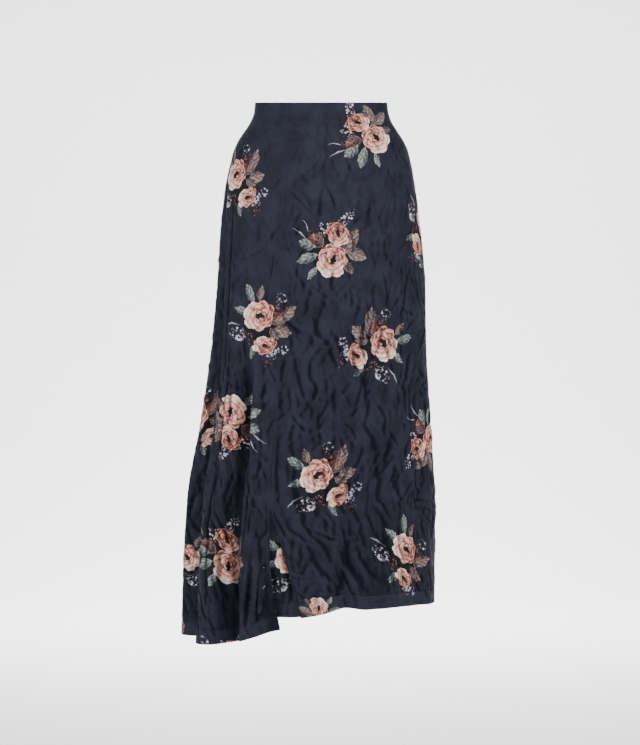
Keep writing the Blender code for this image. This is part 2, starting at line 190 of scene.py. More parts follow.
FOLDS = (
    Fold("right side valley", 194.0, 201.5, 197.5, 5.0, 16.0, 0.144, -0.052, 1.0),
    Fold("right front crest", 214.0, 220.0, 219.0, 8.0, 13.0, 0.300, 0.013, 1.0),
    Fold("right front valley", 228.0, 233.0, 232.5, 4.0, 8.5, 0.470, -0.032, 0.8),
    Fold("slit crest", 246.0, 243.5, 242.0, 6.0, 7.5, 0.520, 0.011, 1.0),
    Fold("slit tuck", 254.0, 254.0, 254.5, 7.0, 11.0, 0.750, -0.018, 1.0),
    Fold("front right valley", 266.0, 266.0, 273.0, 5.0, 6.5, 0.600, -0.008, 0.9),
    Fold("front centre crest", 276.0, 277.0, 279.5, 5.0, 6.0, 0.560, 0.005, 1.0),
    Fold("front centre valley", 289.0, 288.0, 286.5, 6.0, 7.0, 0.500, -0.009, 0.9),
    Fold("front left crest", 296.0, 295.0, 294.0, 5.0, 6.0, 0.540, 0.005, 1.0),
    Fold("front left valley", 300.0, 301.0, 302.0, 6.0, 7.0, 0.480, -0.008, 0.9),
    Fold("left front crest", 312.0, 313.0, 311.0, 7.0, 8.0, 0.440, 0.008, 1.0),
    Fold("left side valley", 330.0, 331.0, 332.0, 9.0, 12.0, 0.400, -0.010, 1.0),
    Fold("back left valley", 22.0, 21.0, 20.0, 8.0, 11.0, 0.380, -0.015, 1.0),
    Fold("back left crest", 38.0, 38.0, 37.0, 8.0, 10.0, 0.420, 0.010, 1.0),
    Fold("back left deep valley", 55.0, 56.0, 57.0, 8.0, 12.0, 0.340, -0.022, 1.0),
    Fold("back left inner crest", 72.0, 73.0, 74.0, 7.0, 9.0, 0.460, 0.009, 1.0),
    Fold("back right valley", 104.0, 106.0, 108.0, 9.0, 12.0, 0.360, -0.024, 1.0),
    Fold("back right crest", 122.0, 125.0, 127.0, 8.0, 11.0, 0.420, 0.012, 1.0),
    Fold("back right deep valley", 140.0, 144.0, 147.0, 8.0, 12.0, 0.320, -0.026, 1.0),
    Fold("back right side crest", 158.0, 162.0, 164.0, 7.0, 10.0, 0.460, 0.006, 1.0),
)
FRONT_HEM = (
    HemPoint(267.0, 0.9206), HemPoint(273.0, 0.9180), HemPoint(283.0, 0.9075),
    HemPoint(288.0, 0.9045), HemPoint(297.0, 0.9080), HemPoint(303.0, 0.9085),
    HemPoint(312.0, 0.9055), HemPoint(344.0, 0.9080), HemPoint(355.0, 0.9065),
)
BACK_HEM = (
    HemPoint(-5.0, 0.9065), HemPoint(20.0, 0.9160), HemPoint(90.0, 0.9380),
    HemPoint(150.0, 0.9580), HemPoint(180.0, 0.9670), HemPoint(197.5, 0.9700),
)
DRAPE_HEM = (
    HemPoint(197.5, 0.9700), HemPoint(212.0, 0.9730), HemPoint(222.0, 0.9725),
    HemPoint(238.0, 0.9645), HemPoint(246.0, 0.9560), HemPoint(252.0, 0.9480),
    HemPoint(257.4, 0.9435),
)
UNDERLAP_HEM = (HemPoint(247.0, 0.9240), HemPoint(275.0, 0.9180))
RIGHT_SIDE_SEAM = (
    EdgeAngle(0.00, 184.0), EdgeAngle(0.10, 189.0), EdgeAngle(0.20, 194.0), EdgeAngle(0.36, 196.5),
    EdgeAngle(0.60, 201.5), EdgeAngle(0.75, 200.8), EdgeAngle(0.95, 197.5),
)
LEFT_SIDE_SEAM = (EdgeAngle(0.00, -5.0), EdgeAngle(1.00, -5.0))
CENTRE_BACK_SEAM = (EdgeAngle(0.00, 90.0), EdgeAngle(1.00, 90.0))
FRONT_EDGE = (
    EdgePlace(0.0000, -0.0550), EdgePlace(0.5500, -0.0790), EdgePlace(SLIT_DROP, -0.0898),
    EdgePlace(0.7673, -0.0795), EdgePlace(0.8025, -0.0690), EdgePlace(0.8388, -0.0578),
    EdgePlace(0.8712, -0.0452), EdgePlace(0.9206, -0.0350),
)
DRAPE_EDGE = (
    EdgePlace(0.0000, -0.0550), EdgePlace(0.5500, -0.0790), EdgePlace(SLIT_DROP, -0.0898),
    EdgePlace(0.8300, -0.0915), EdgePlace(0.8900, -0.0860), EdgePlace(0.9435, -0.0748),
)
UNDERLAP_RIGHT_EDGE = (EdgePlace(0.70, -0.1000), EdgePlace(0.78, -0.1080), EdgePlace(0.93, -0.1150))
UNDERLAP_LEFT_EDGE = (EdgePlace(0.70, -0.0760), EdgePlace(0.78, -0.0560), EdgePlace(0.93, -0.0080))
UNDERLAP_TOP = 0.700


def column(rows: Sequence, name: str) -> np.ndarray:
    """One named column of a table."""
    return np.array([getattr(row, name) for row in rows])


def smooth_values(at: np.ndarray, knots: Sequence[float], values: Sequence[float]) -> np.ndarray:
    """Curve through the rows of a table that never swings past them.

    Args:
        at: where to read the curve.
        knots: the rows' places, rising.
        values: the rows' values.

    Returns:
        The curve's values, held level past both ends.
    """
    knots, values = np.asarray(knots, float), np.asarray(values, float)
    steps = np.diff(knots)
    rises = np.diff(values) / steps
    slopes = np.zeros_like(values)
    slopes[0], slopes[-1] = rises[0], rises[-1]
    both = rises[:-1] * rises[1:]
    total = np.where(both > 0, rises[:-1] + rises[1:], 1.0)
    slopes[1:-1] = np.where(both > 0, 2 * both / total, 0.0)
    at = np.clip(at, knots[0], knots[-1])
    i = np.clip(np.searchsorted(knots, at, side="right") - 1, 0, len(steps) - 1)
    s = (at - knots[i]) / steps[i]
    return ((1 + 2 * s) * (1 - s) ** 2 * values[i] + s * (1 - s) ** 2 * steps[i] * slopes[i]
            + s * s * (3 - 2 * s) * values[i + 1] + s * s * (s - 1) * steps[i] * slopes[i + 1])


def level(angle: np.ndarray, drop: np.ndarray) -> np.ndarray:
    """No distance from the cloth's own face."""
    return np.zeros(np.broadcast(angle, drop).shape)


class WornForm:
    """The skirt's worn shape, as a face that angle and drop run over."""

    @staticmethod
    def section(drop: np.ndarray) -> tuple[np.ndarray, ...]:
        """Centre x and y, and half widths x and y, of the plain section at a drop.

        Args:
            drop: drops in metres.

        Returns:
            Four grids of metres, one number for each drop.
        """
        right, left, front, back = (
            smooth_values(drop, column(SECTIONS, "drop"), column(SECTIONS, side))
            for side in ("right", "left", "front", "back"))
        return (left - right) / 2, (back - front) / 2, (left + right) / 2, (back + front) / 2

    @staticmethod
    def fold(fold: Fold, angle: np.ndarray, drop: np.ndarray) -> tuple[np.ndarray, np.ndarray]:
        """One fold's depth down its centre, and how much of it is left at each angle.

        Args:
            fold: the fold's row.
            angle: angles in degrees.
            drop: drops in metres.

        Returns:
            Its depth at each drop, and its share, from 0 to 1, at each angle and drop.
        """
        centre = smooth_values(drop, (HIP_DROP, KNEE_DROP, HEM_DROP), (fold.hip, fold.knee, fold.hem))
        width = np.interp(drop, (HIP_DROP, HEM_DROP), (fold.width_hip, fold.width_hem))
        away = (angle - centre + 180) % 360 - 180
        growth = np.clip((drop - fold.start) / (HEM_DROP - fold.start), 0, None) ** fold.power
        return fold.depth * growth, (1 + np.cos(np.pi * np.clip(away / width, -1, 1))) / 2

    @classmethod
    def folds(cls, angle: np.ndarray, drop: np.ndarray) -> np.ndarray:
        """How far the large folds carry the cloth out from the plain section.

        Args:
            angle: angles in degrees.
            drop: drops in metres.

        Returns:
            Metres out from the plain section, less than 0 in a valley.
        """
        total = level(angle, drop)
        for fold in FOLDS:
            depth, share = cls.fold(fold, angle, drop)
            total += depth * share
        return total

    @classmethod
    def valleys(cls, angle: np.ndarray, drop: np.ndarray) -> np.ndarray:
        """How far down in a deep valley the cloth lies, from 0 to 1, where little light comes.

        Args:
            angle: angles in degrees.
            drop: drops in metres.

        Returns:
            One number for each angle and drop.
        """
        darkest = level(angle, drop)
        for fold in FOLDS:
            depth, share = cls.fold(fold, angle, drop)
            deep = np.clip((-depth - VALLEY_SHALLOW) / VALLEY_SPAN, 0, 1)
            core = np.clip((share - VALLEY_EDGE) / VALLEY_CORE, 0, 1)
            darkest = np.maximum(darkest, VALLEY_DARK * deep * core)
        return darkest

    @classmethod
    def points(cls, angle: np.ndarray, drop: np.ndarray, out: Offset = level) -> np.ndarray:
        """Points of the cloth's outer face.

        Args:
            angle: angles in degrees.
            drop: drops in metres.
            out: how far to move each point out from the cloth's own face.

        Returns:
            One point for each angle and drop, on the last axis.
        """
        centre_x, centre_y, half_x, half_y = cls.section(drop)
        across, along = np.cos(np.radians(angle)), np.sin(np.radians(angle))
        length = np.hypot(across / half_x, along / half_y)
        offset = cls.folds(angle, drop) + out(angle, drop)
        x = centre_x + half_x * across + across / half_x / length * offset
        y = centre_y + half_y * along + along / half_y / length * offset
        return np.stack([x, y, -drop + 0 * x], axis=-1)

    @classmethod
    def front_angle(cls, x: np.ndarray, drop: np.ndarray) -> np.ndarray:
        """Angle of the front point that lies at x."""
        centre_x, _, half_x, _ = cls.section(drop)
        return 360 - np.degrees(np.arccos(np.clip((x - centre_x) / half_x, -1, 1)))

    @classmethod
    def edge(cls, edge: Edge, drop: np.ndarray, distance: np.ndarray | float = 0.0) -> np.ndarray:
        """Angle of a seam or free edge at a drop.

        Args:
            edge: the edge's table.
            drop: drops in metres.
            distance: how far along the cloth from the edge, towards greater angles.

        Returns:
            The angles in degrees.
        """
        if isinstance(edge[0], EdgeAngle):
            angle = smooth_values(drop, column(edge, "drop"), column(edge, "angle"))
        else:
            angle = cls.front_angle(np.interp(drop, column(edge, "drop"), column(edge, "x")), drop)
        turn = 0.2
        span = cls.points(angle + turn, drop) - cls.points(angle - turn, drop)
        return angle + distance / (np.linalg.norm(span, axis=-1) / (2 * turn))

    @classmethod
    def waist_drop(cls, angle: np.ndarray) -> np.ndarray:
        """Drop of the waist edge, which dips in a straight line towards the front."""
        _, _, _, half_y = cls.section(0.0)
        return WAIST_TILT * half_y * np.clip(-np.sin(np.radians(angle)), 0, None)


def flap_lift(angle: np.ndarray, drop: np.ndarray) -> np.ndarray:
    """The front panel stands off at the free edge of the slit, most at its corner.

    Args:
        angle: angles in degrees.
        drop: drops in metres.

    Returns:
        Metres out from the cloth's own face.
    """
    lift, spread = 6.0 * MM, 9.0
    from_edge = angle - WornForm.edge(FRONT_EDGE, drop)
    growth = np.clip((drop - SLIT_DROP) / (FRONT_EDGE[-1].drop - SLIT_DROP), 0, 1)
    return lift * growth * np.exp(-(from_edge / spread) ** 2)


def underlap_sink(angle: np.ndarray, drop: np.ndarray) -> np.ndarray:
    """The underlap is sewn in behind the slit's top and hangs further back towards its hem.

    Args:
        angle: angles in degrees.
        drop: drops in metres.

    Returns:
        Metres out from the cloth's own face, all less than 0.
    """
    sink = 7.0 * MM
    growth = np.clip((drop - UNDERLAP_TOP) / (HEM_DROP - UNDERLAP_TOP), 0, None)
    return -(WALL + SEWN_GAP + sink * growth) + 0 * angle


# ---------------------------------------------------------------- creases


@dataclass(frozen=True)
class Crease:
    """A soft hollow (-) or ridge (+) across the cloth.

    Its place is an angle, or on the front the place x that it is seen at, and a drop. Its turn is in
    degrees from straight down, towards the right seen from outside. Sizes are in millimetres.
    """

    place: float
    drop: float
    turn: float
    length: float
    width: float
    depth: float
    bend: float = 0.0


# A crease's profile, in its own half widths: how sharp it is, and the low shoulder on both sides.
# Along it, the taper to its ends, and the share of its length where its bend crosses its place.
CREASE_SHARPNESS = 1.25
CREASE_TAPER = 1.3
CREASE_BEND_AT = 0.4
SHOULDER = 0.34
SHOULDER_AT = 2.0
SHOULDER_WIDTH = 0.8

# The main creases of the front, as seen, across the front (x in metres) and down it.
FRONT_CREASES = (
    Crease(-0.024, 0.068, 25, 30, 4.0, -1.1, 2),
    Crease(-0.030, 0.148, 32, 30, 4.5, -1.1, -2),
    Crease(-0.022, 0.195, 24, 70, 6.0, -1.5, 5),
    Crease(-0.003, 0.205, -20, 44, 5.5, -1.2, 3),
    Crease(0.010, 0.185, -12, 60, 6.0, 1.0, 4),
    Crease(0.088, 0.220, 4, 120, 7.0, -1.6, -5),
    Crease(0.100, 0.195, -18, 55, 6.0, 1.0, 3),
    Crease(0.118, 0.250, 14, 60, 7.0, -1.0, 4),
    Crease(0.060, 0.262, 10, 50, 6.0, -0.9, 3),
    Crease(-0.048, 0.245, 16, 60, 7.0, -1.1, 4),
    Crease(-0.004, 0.400, -14, 120, 9.0, -2.0, -6),
    Crease(0.012, 0.372, -10, 70, 7.0, 1.3, 4),
    Crease(-0.018, 0.430, -22, 80, 7.0, -1.3, 3),
    Crease(0.083, 0.398, -8, 80, 9.0, -1.7, 4),
    Crease(0.070, 0.500, 26, 80, 10.0, -2.2, 4),
    Crease(0.082, 0.530, 8, 90, 9.0, -2.0, -5),
    Crease(0.130, 0.440, 20, 48, 7.0, -1.9, 2),
    Crease(0.126, 0.520, -10, 80, 8.0, 1.4, 6),
    Crease(0.068, 0.470, -16, 60, 7.0, 1.4, -4),
    Crease(0.090, 0.610, 32, 80, 8.0, -2.0, 4),
    Crease(0.120, 0.630, -24, 90, 8.0, -2.0, -5),
    Crease(0.102, 0.690, 2, 70, 8.0, -1.8, 3),
    Crease(0.108, 0.640, 4, 60, 6.0, 1.3, 2),
    Crease(0.148, 0.690, -31, 96, 13.0, 2.8, 5),
    Crease(0.176, 0.705, -30, 80, 12.0, -2.0, 3),
    Crease(0.178, 0.640, 5, 90, 12.0, -1.8, 3),
    Crease(-0.036, 0.608, -38, 44, 13.0, 2.0, 2),
    Crease(-0.008, 0.570, 30, 52, 7.0, -1.5, 3),
    Crease(0.022, 0.540, 14, 70, 7.0, -1.2, -4),
    Crease(0.026, 0.600, -20, 60, 7.0, 1.1, 4),
    Crease(-0.074, 0.545, 14, 60, 6.0, -1.6, 3),
    Crease(-0.060, 0.470, 4, 110, 9.0, 1.4, 5),
    Crease(-0.078, 0.640, 3, 120, 7.0, -1.6, -4),
    Crease(-0.064, 0.690, 7, 90, 9.0, 1.2, 4),
    Crease(-0.043, 0.720, 13, 100, 8.0, -2.4, 5),
    Crease(-0.026, 0.780, 11, 130, 10.0, 1.8, -5),
    Crease(-0.012, 0.815, 14, 110, 8.0, -2.0, 4),
    Crease(0.008, 0.770, 4, 150, 11.0, -2.0, 6),
    Crease(0.038, 0.835, -22, 110, 10.0, -3.2, 5),
    Crease(0.047, 0.850, 2, 90, 9.0, 1.8, 3),
    Crease(0.058, 0.840, 20, 100, 9.0, -3.0, -4),
    Crease(0.080, 0.830, 32, 100, 9.0, -2.6, 4),
    Crease(0.024, 0.800, 12, 90, 9.0, 1.6, 4),
    Crease(0.092, 0.795, 10, 110, 9.0, 1.7, -5),
    Crease(0.108, 0.790, -12, 110, 9.0, -1.8, 4),
    Crease(0.124, 0.840, 8, 90, 9.0, 1.4, 3),
    Crease(0.172, 0.850, -4, 80, 9.0, -1.5, 3),
    Crease(0.186, 0.780, 6, 130, 10.0, 1.4, 4),
    Crease(0.146, 0.350, 5, 110, 10.0, -1.2, -6),
    Crease(0.168, 0.420, -6, 120, 10.0, 1.1, 5),
    Crease(0.158, 0.550, 8, 110, 9.0, -1.3, 5),
    Crease(0.130, 0.060, 60, 30, 6.0, -1.1, 2),
    Crease(0.136, 0.085, 50, 34, 6.0, -1.0, -2),
)
DRAPE_CREASES = (
    Crease(-0.1658, 0.337, 0, 380, 3.5, -4.8, 0),
    Crease(-0.1755, 0.558, -6, 240, 3.8, -3.2, 1),
    Crease(-0.1935, 0.670, -8, 200, 9.0, -3.5, 2),
    Crease(-0.2039, 0.789, -7, 210, 4.0, -3.0, 2),
    Crease(-0.2198, 0.931, -5, 120, 4.0, -2.6, 0),
    Crease(-0.1285, 0.886, -15, 120, 4.5, -4.5, 2),
    Crease(-0.1190, 0.884, -15, 124, 5.5, 4.5, 2),
    Crease(-0.1050, 0.880, -15, 120, 8.0, -7.0, 2),
    Crease(-0.1330, 0.590, -2, 300, 11.0, -6.0, 3),
    Crease(-0.1280, 0.628, 3, 170, 4.0, -3.2, 2),
    Crease(-0.1350, 0.744, -7, 190, 4.0, -3.4, 2),
    Crease(-0.1456, 0.882, 0, 140, 4.5, -3.4, 2),
    Crease(-0.1350, 0.500, 4, 200, 9.0, -2.5, -3),
    Crease(-0.135, 0.230, 3, 140, 9.0, 0.9, 4),
    Crease(-0.112, 0.260, 2, 120, 8.0, -0.8, -4),
    Crease(-0.140, 0.330, 6, 110, 9.0, -1.0, 4),
    Crease(-0.104, 0.500, 2, 150, 8.0, -1.3, 4),
    Crease(-0.120, 0.560, -3, 120, 9.0, 1.4, -4),
    Crease(-0.110, 0.660, 2, 120, 9.0, -1.5, 4),
    Crease(-0.160, 0.660, 10, 90, 8.0, -1.4, 4),
    Crease(-0.174, 0.700, -9, 80, 8.0, 1.4, 3),
    Crease(-0.163, 0.730, 16, 70, 8.0, -1.4, -3),
    Crease(-0.120, 0.760, -6, 110, 10.0, 1.8, 4),
    Crease(-0.108, 0.800, 8, 90, 8.0, -1.6, 3),
    Crease(-0.128, 0.845, -12, 100, 9.0, -1.6, -4),
    Crease(-0.118, 0.900, -14, 80, 9.0, 1.5, 4),
    Crease(-0.150, 0.890, -6, 90, 9.0, 1.2, 3),
    Crease(-0.178, 0.870, 4, 120, 10.0, -1.4, 4),
    Crease(-0.200, 0.830, 5, 120, 9.0, 1.3, 4),
    Crease(-0.190, 0.920, -4, 70, 9.0, 1.2, 3),
)
UNDERLAP_CREASES = (
    Crease(-0.0625, 0.830, 16, 200, 4.0, -3.0, 0),
    Crease(-0.082, 0.840, 22, 110, 8.0, -1.8, 4),
    Crease(-0.066, 0.860, 24, 100, 9.0, 1.8, 4),
    Crease(-0.058, 0.890, 12, 70, 8.0, -1.6, 3),
    Crease(-0.084, 0.895, -16, 60, 8.0, 1.4, 3),
)
# The back's creases, which aren't shown, by angle.
BACK_LEFT_CREASES = (
    Crease(14, 0.130, 30, 40, 6.0, -1.0, 2),
    Crease(30, 0.180, -20, 60, 6.0, -1.3, 4),
    Crease(62, 0.210, 18, 70, 6.5, -1.4, -4),
    Crease(78, 0.260, -10, 90, 8.0, 1.2, 5),
    Crease(8, 0.300, 6, 110, 9.0, -1.3, 5),
    Crease(44, 0.330, 24, 80, 8.0, -1.6, 4),
    Crease(70, 0.390, -22, 90, 8.0, -1.7, -4),
    Crease(26, 0.430, -12, 100, 9.0, 1.4, 4),
    Crease(52, 0.500, 12, 110, 9.0, -2.0, 5),
    Crease(82, 0.520, 20, 90, 8.0, 1.5, 4),
    Crease(4, 0.560, -14, 100, 9.0, -1.6, -5),
    Crease(34, 0.600, 28, 90, 9.0, -1.9, 4),
    Crease(66, 0.640, -28, 90, 10.0, 2.2, 4),
    Crease(18, 0.690, 10, 120, 10.0, 1.8, 5),
    Crease(46, 0.740, -16, 110, 9.0, -2.0, -4),
    Crease(78, 0.750, 14, 110, 9.0, -2.2, 5),
    Crease(6, 0.800, 18, 100, 9.0, -1.8, 4),
    Crease(30, 0.840, -20, 100, 9.0, 1.8, 4),
    Crease(60, 0.850, 22, 90, 9.0, -2.4, 4),
    Crease(86, 0.850, -8, 90, 8.0, 1.5, 3),
)
BACK_RIGHT_CREASES = (
    Crease(112, 0.140, 24, 46, 6.0, -1.1, 2),
    Crease(140, 0.170, -30, 56, 6.0, -1.2, 4),
    Crease(98, 0.230, -14, 80, 7.0, 1.2, 4),
    Crease(128, 0.270, 16, 90, 8.0, -1.5, -5),
    Crease(160, 0.300, -8, 110, 9.0, -1.3, 5),
    Crease(108, 0.360, 26, 80, 8.0, -1.7, 4),
    Crease(146, 0.400, -18, 90, 8.0, 1.5, 4),
    Crease(176, 0.430, 6, 120, 8.0, -1.2, 4),
    Crease(96, 0.480, 12, 110, 9.0, -1.8, -5),
    Crease(132, 0.520, -24, 90, 9.0, -1.9, 4),
    Crease(164, 0.560, 18, 100, 9.0, 1.6, 4),
    Crease(110, 0.620, 8, 120, 10.0, 1.9, 5),
    Crease(150, 0.640, -12, 110, 9.0, -2.0, -4),
    Crease(182, 0.660, 4, 120, 8.0, 1.3, 4),
    Crease(124, 0.720, 24, 100, 9.0, -2.1, 4),
    Crease(98, 0.760, -16, 110, 9.0, -2.0, 4),
    Crease(168, 0.760, -10, 110, 9.0, -1.6, 5),
    Crease(142, 0.820, 14, 110, 9.0, 1.9, 4),
    Crease(112, 0.870, -18, 90, 9.0, -2.2, 4),
    Crease(178, 0.850, 6, 110, 9.0, -1.4, 4),
    Crease(158, 0.890, 8, 80, 9.0, -1.6, 3),
)


@dataclass(frozen=True)
class SmallCreases:
    """The crush of small creases: how many lie on a square metre, and what each is drawn from.

    Lengths, widths and bends are in millimetres, and the lean is in degrees. A crease as long as the
    measure is as deep as its own draw says, and a longer one is deeper.
    """

    count: float = 5200.0
    length: tuple[float, float] = (16.0, 74.0)
    lean: float = 26.0
    width: tuple[float, float] = (2.2, 4.6)
    trough_and_ridge: tuple[float, float] = (0.72, 0.28)
    depth: tuple[float, float] = (0.25, 1.35)
    measure: float = 40.0
    bend: float = 7.0

    def drawn(self, draw: np.random.Generator) -> Crease:
        """The next small crease, without a place.

        Args:
            draw: the random draws.

        Returns:
            The crease.
        """
        length = draw.uniform(*self.length)
        turn = draw.normal(0, self.lean)
        width = draw.uniform(*self.width)
        way = draw.choice((-1, 1), p=self.trough_and_ridge)
        depth = way * draw.uniform(*self.depth) ** 2 * length / self.measure
        return Crease(0.0, 0.0, turn, length, width, depth, draw.uniform(-self.bend, self.bend))


# ---------------------------------------------------------------- colours and shader maths


def seen(red: int, green: int, blue: int) -> Colour:
    """Linear colour of a colour as seen, from 0 to 255 a channel."""
    return tuple(((v / 255 + 0.055) / 1.055) ** 2.4 if v > 10 else v / 255 / 12.92
                 for v in (red, green, blue))


class Shader:
    """One material's node tree, with one way to add a node."""

    def __init__(self, name: str) -> None:
        """Start an empty tree in a new material.

        Args:
            name: the material's name.
        """
        self.material = bpy.data.materials.new(name)
        self.material.use_nodes = True
        self.tree = self.material.node_tree
        self.tree.nodes.clear()

    def add(self, kind: str, settings: dict | None = None,
            inputs: dict | None = None) -> bpy.types.Node:
        """Add a node.

        Args:
            kind: the node's type.
            settings: its properties, such as operation, and stops for a ramp.
            inputs: values or links of its sockets, by index or identifier.

        Returns:
            The node.
        """
        node = self.tree.nodes.new(kind)
        for name, value in (settings or {}).items():
            if name == "stops":
                self._set_stops(node.color_ramp, value)
            else:
                setattr(node, name, value)
        for key, value in (inputs or {}).items():
            socket = node.inputs[key] if isinstance(key, int) else self._input(node, key)
            if isinstance(value, Value):
                value = value.socket
            if isinstance(value, bpy.types.NodeSocket):
                self.tree.links.new(value, socket)
            else:
                socket.default_value = value
        return node

    @staticmethod
    def _input(node: bpy.types.Node, key: str) -> bpy.types.NodeSocket:
        """A node's input by identifier, or by name."""
        return next((s for s in node.inputs if s.identifier == key), None) or node.inputs[key]

    @staticmethod
    def _set_stops(ramp: bpy.types.ColorRamp, stops: Sequence[tuple[float, Colour]]) -> None:
        """Set a ramp's stops.

        Args:
            ramp: the node's ramp.
            stops: each stop's place and colour.
        """
        while len(ramp.elements) < len(stops):
            ramp.elements.new(1.0)
        for element, (place, colour) in zip(ramp.elements, stops):
            element.position = place
            element.color = (*colour, 1.0)

    def mix(self, factor: Value | float, a: object, b: object) -> bpy.types.NodeSocket:
        """Colour between a and b.

        Args:
            factor: 0 for a, 1 for b.
            a: a colour or a socket.
            b: a colour or a socket.

        Returns:
            The mixed colour's socket.
        """
        a, b = ((*c, 1.0) if isinstance(c, tuple) else c for c in (a, b))
        node = self.add("ShaderNodeMix", {"data_type": "RGBA"},
                        {"Factor_Float": factor, "A_Color": a, "B_Color": b})
        return next(s for s in node.outputs if s.identifier == "Result_Color")

    def ramp(self, value: Value, stops: Sequence[tuple[float, Colour]]) -> bpy.types.NodeSocket:
        """Colour of a value on a ramp."""
        return self.add("ShaderNodeValToRGB", {"stops": stops}, {0: value}).outputs[0]

    def attribute(self, name: str) -> Value:
        """One of the mesh's own numbers."""
        return Value(self, self.add("ShaderNodeAttribute", {"attribute_name": name}).outputs["Fac"])

    def noise(self, at: object, scale: float, detail: float = 2.0) -> bpy.types.Node:
        """Noise at a point."""
        return self.add("ShaderNodeTexNoise", inputs={"Vector": at, "Scale": scale, "Detail": detail})


class Value:
    """A number on a socket, which takes part in sums."""

    def __init__(self, shader: Shader, socket: bpy.types.NodeSocket) -> None:
        """Wrap a socket of a shader's tree."""
        self.shader = shader
        self.socket = socket

    def _math(self, operation: str, *values: Value | float) -> Value:
        """Result of one Math node."""
        node = self.shader.add("ShaderNodeMath", {"operation": operation}, dict(enumerate(values)))
        return Value(self.shader, node.outputs[0])

    def __add__(self, other: Value | float) -> Value:
        """Sum."""
        return self._math("ADD", self, other)

    __radd__ = __add__

    def __sub__(self, other: Value | float) -> Value:
        """Difference."""
        return self._math("SUBTRACT", self, other)

    def __rsub__(self, other: Value | float) -> Value:
        """Difference from a number."""
        return self._math("SUBTRACT", other, self)

    def __mul__(self, other: Value | float) -> Value:
        """Product."""
        return self._math("MULTIPLY", self, other)

    __rmul__ = __mul__

    def __or__(self, other: Value | float) -> Value:
        """The greater of the two, which joins two covers."""
        return self._math("MAXIMUM", self, other)

    def __abs__(self) -> Value:
        """Size without sign."""
        return self._math("ABSOLUTE", self)

    def fused(self, factor: Value | float, addend: Value | float) -> Value:
        """This value times a factor, plus another."""
        return self._math("MULTIPLY_ADD", self, factor, addend)

    def wave(self, turns: float) -> Value:
        """Sine of the value times a number."""
        return self._math("SINE", self * turns)

    def step(self, low: float, high: float, start: float = 0.0, end: float = 1.0) -> Value:
        """Smooth step from start to end as the value goes from low to high.

        Args:
            low: where the step starts.
            high: where it ends, lower than its start for a falling one.
            start: the result before it.
            end: the result after it.

        Returns:
            The stepped value.
        """
        node = self.shader.add("ShaderNodeMapRange", {"interpolation_type": "SMOOTHSTEP"},
                               {0: self, 1: low, 2: high, 3: start, 4: end})
        return Value(self.shader, node.outputs[0])

    def towards(self, other: Value | float, cover: Value) -> Value:
        """This value, replaced by another where the cover is 1.

        Args:
            other: what replaces it.
            cover: how much, from 0 to 1.

        Returns:
            The value between the two.
        """
        node = self.shader.add("ShaderNodeMix", {"data_type": "FLOAT"},
                               {"Factor_Float": cover, "A_Float": self, "B_Float": other})
        return Value(self.shader, next(s for s in node.outputs if s.identifier == "Result_Float"))


@dataclass(frozen=True)
class Plot:
    """A flat shape's own coordinates, x and y, which are 1 at its sides and ends."""

    x: Value
    y: Value

    def placed(self, x: float, y: float, turn: float, wide: float, long: float) -> Plot:
        """Coordinates of a shape that lies on this one.

        Args:
            x: the shape's place across.
            y: the shape's place up.
            turn: degrees anticlockwise.
            wide: half its width.
            long: half its length.

        Returns:
            The shape's own coordinates.
        """
        cos, sin = math.cos(math.radians(turn)), math.sin(math.radians(turn))
        own_x = self.x.fused(cos / wide, self.y.fused(sin / wide, -(x * cos + y * sin) / wide))
        own_y = self.x.fused(-sin / long, self.y.fused(cos / long, (x * sin - y * cos) / long))
        return Plot(own_x, own_y)

    def square(self) -> Value:
        """Squared distance from the middle, 1 at the shape's oval edge."""
        return self.x.fused(self.x, self.y * self.y)


# ---------------------------------------------------------------- the print


class Flower(Enum):
    """What a row of a spray's table draws."""

    SHADE = "dark leaves behind"
    GREEN_LEAF = "grey-green leaf"
    TAUPE_LEAF = "taupe leaf"
    TWIG = "pale twig"
    LILAC = "sprig of lilac blossoms"
    BERRIES = "dark berries and florets"
    BUD = "coral bud"
    ROSE = "rose"


@dataclass(frozen=True)
class Motif:
    """One element of a spray, in centimetres from its centre; turn in degrees from upright."""

    flower: Flower
    x: float
    y: float
    turn: float
    wide: float
    long: float
    tone: float = 0.0


@dataclass(frozen=True)
class PetalRing:
    """A ring of a rose's petals, for a rose of radius 1.

    The lean is how far the ring has moved towards the heart, and the shade is what its shadow leaves
    of the light on the petals outside it.
    """

    count: int
    reach: float
    wide: float
    long: float
    start: float
    tone: float
    gain: float
    lean: float
    shade: float


ROSE_RINGS = (
    PetalRing(7, 0.64, 0.40, 0.33, 15.0, 0.66, 0.24, 0.00, 0.70),
    PetalRing(6, 0.50, 0.40, 0.32, 42.0, 0.64, 0.26, 0.30, 0.66),
    PetalRing(5, 0.37, 0.36, 0.27, 10.0, 0.60, 0.28, 0.62, 0.58),
    PetalRing(5, 0.24, 0.26, 0.19, 55.0, 0.54, 0.28, 0.86, 0.52),
    PetalRing(4, 0.12, 0.16, 0.12, 20.0, 0.46, 0.26, 1.00, 0.50),
)
ROSE_HEART = (0.24, 0.20)
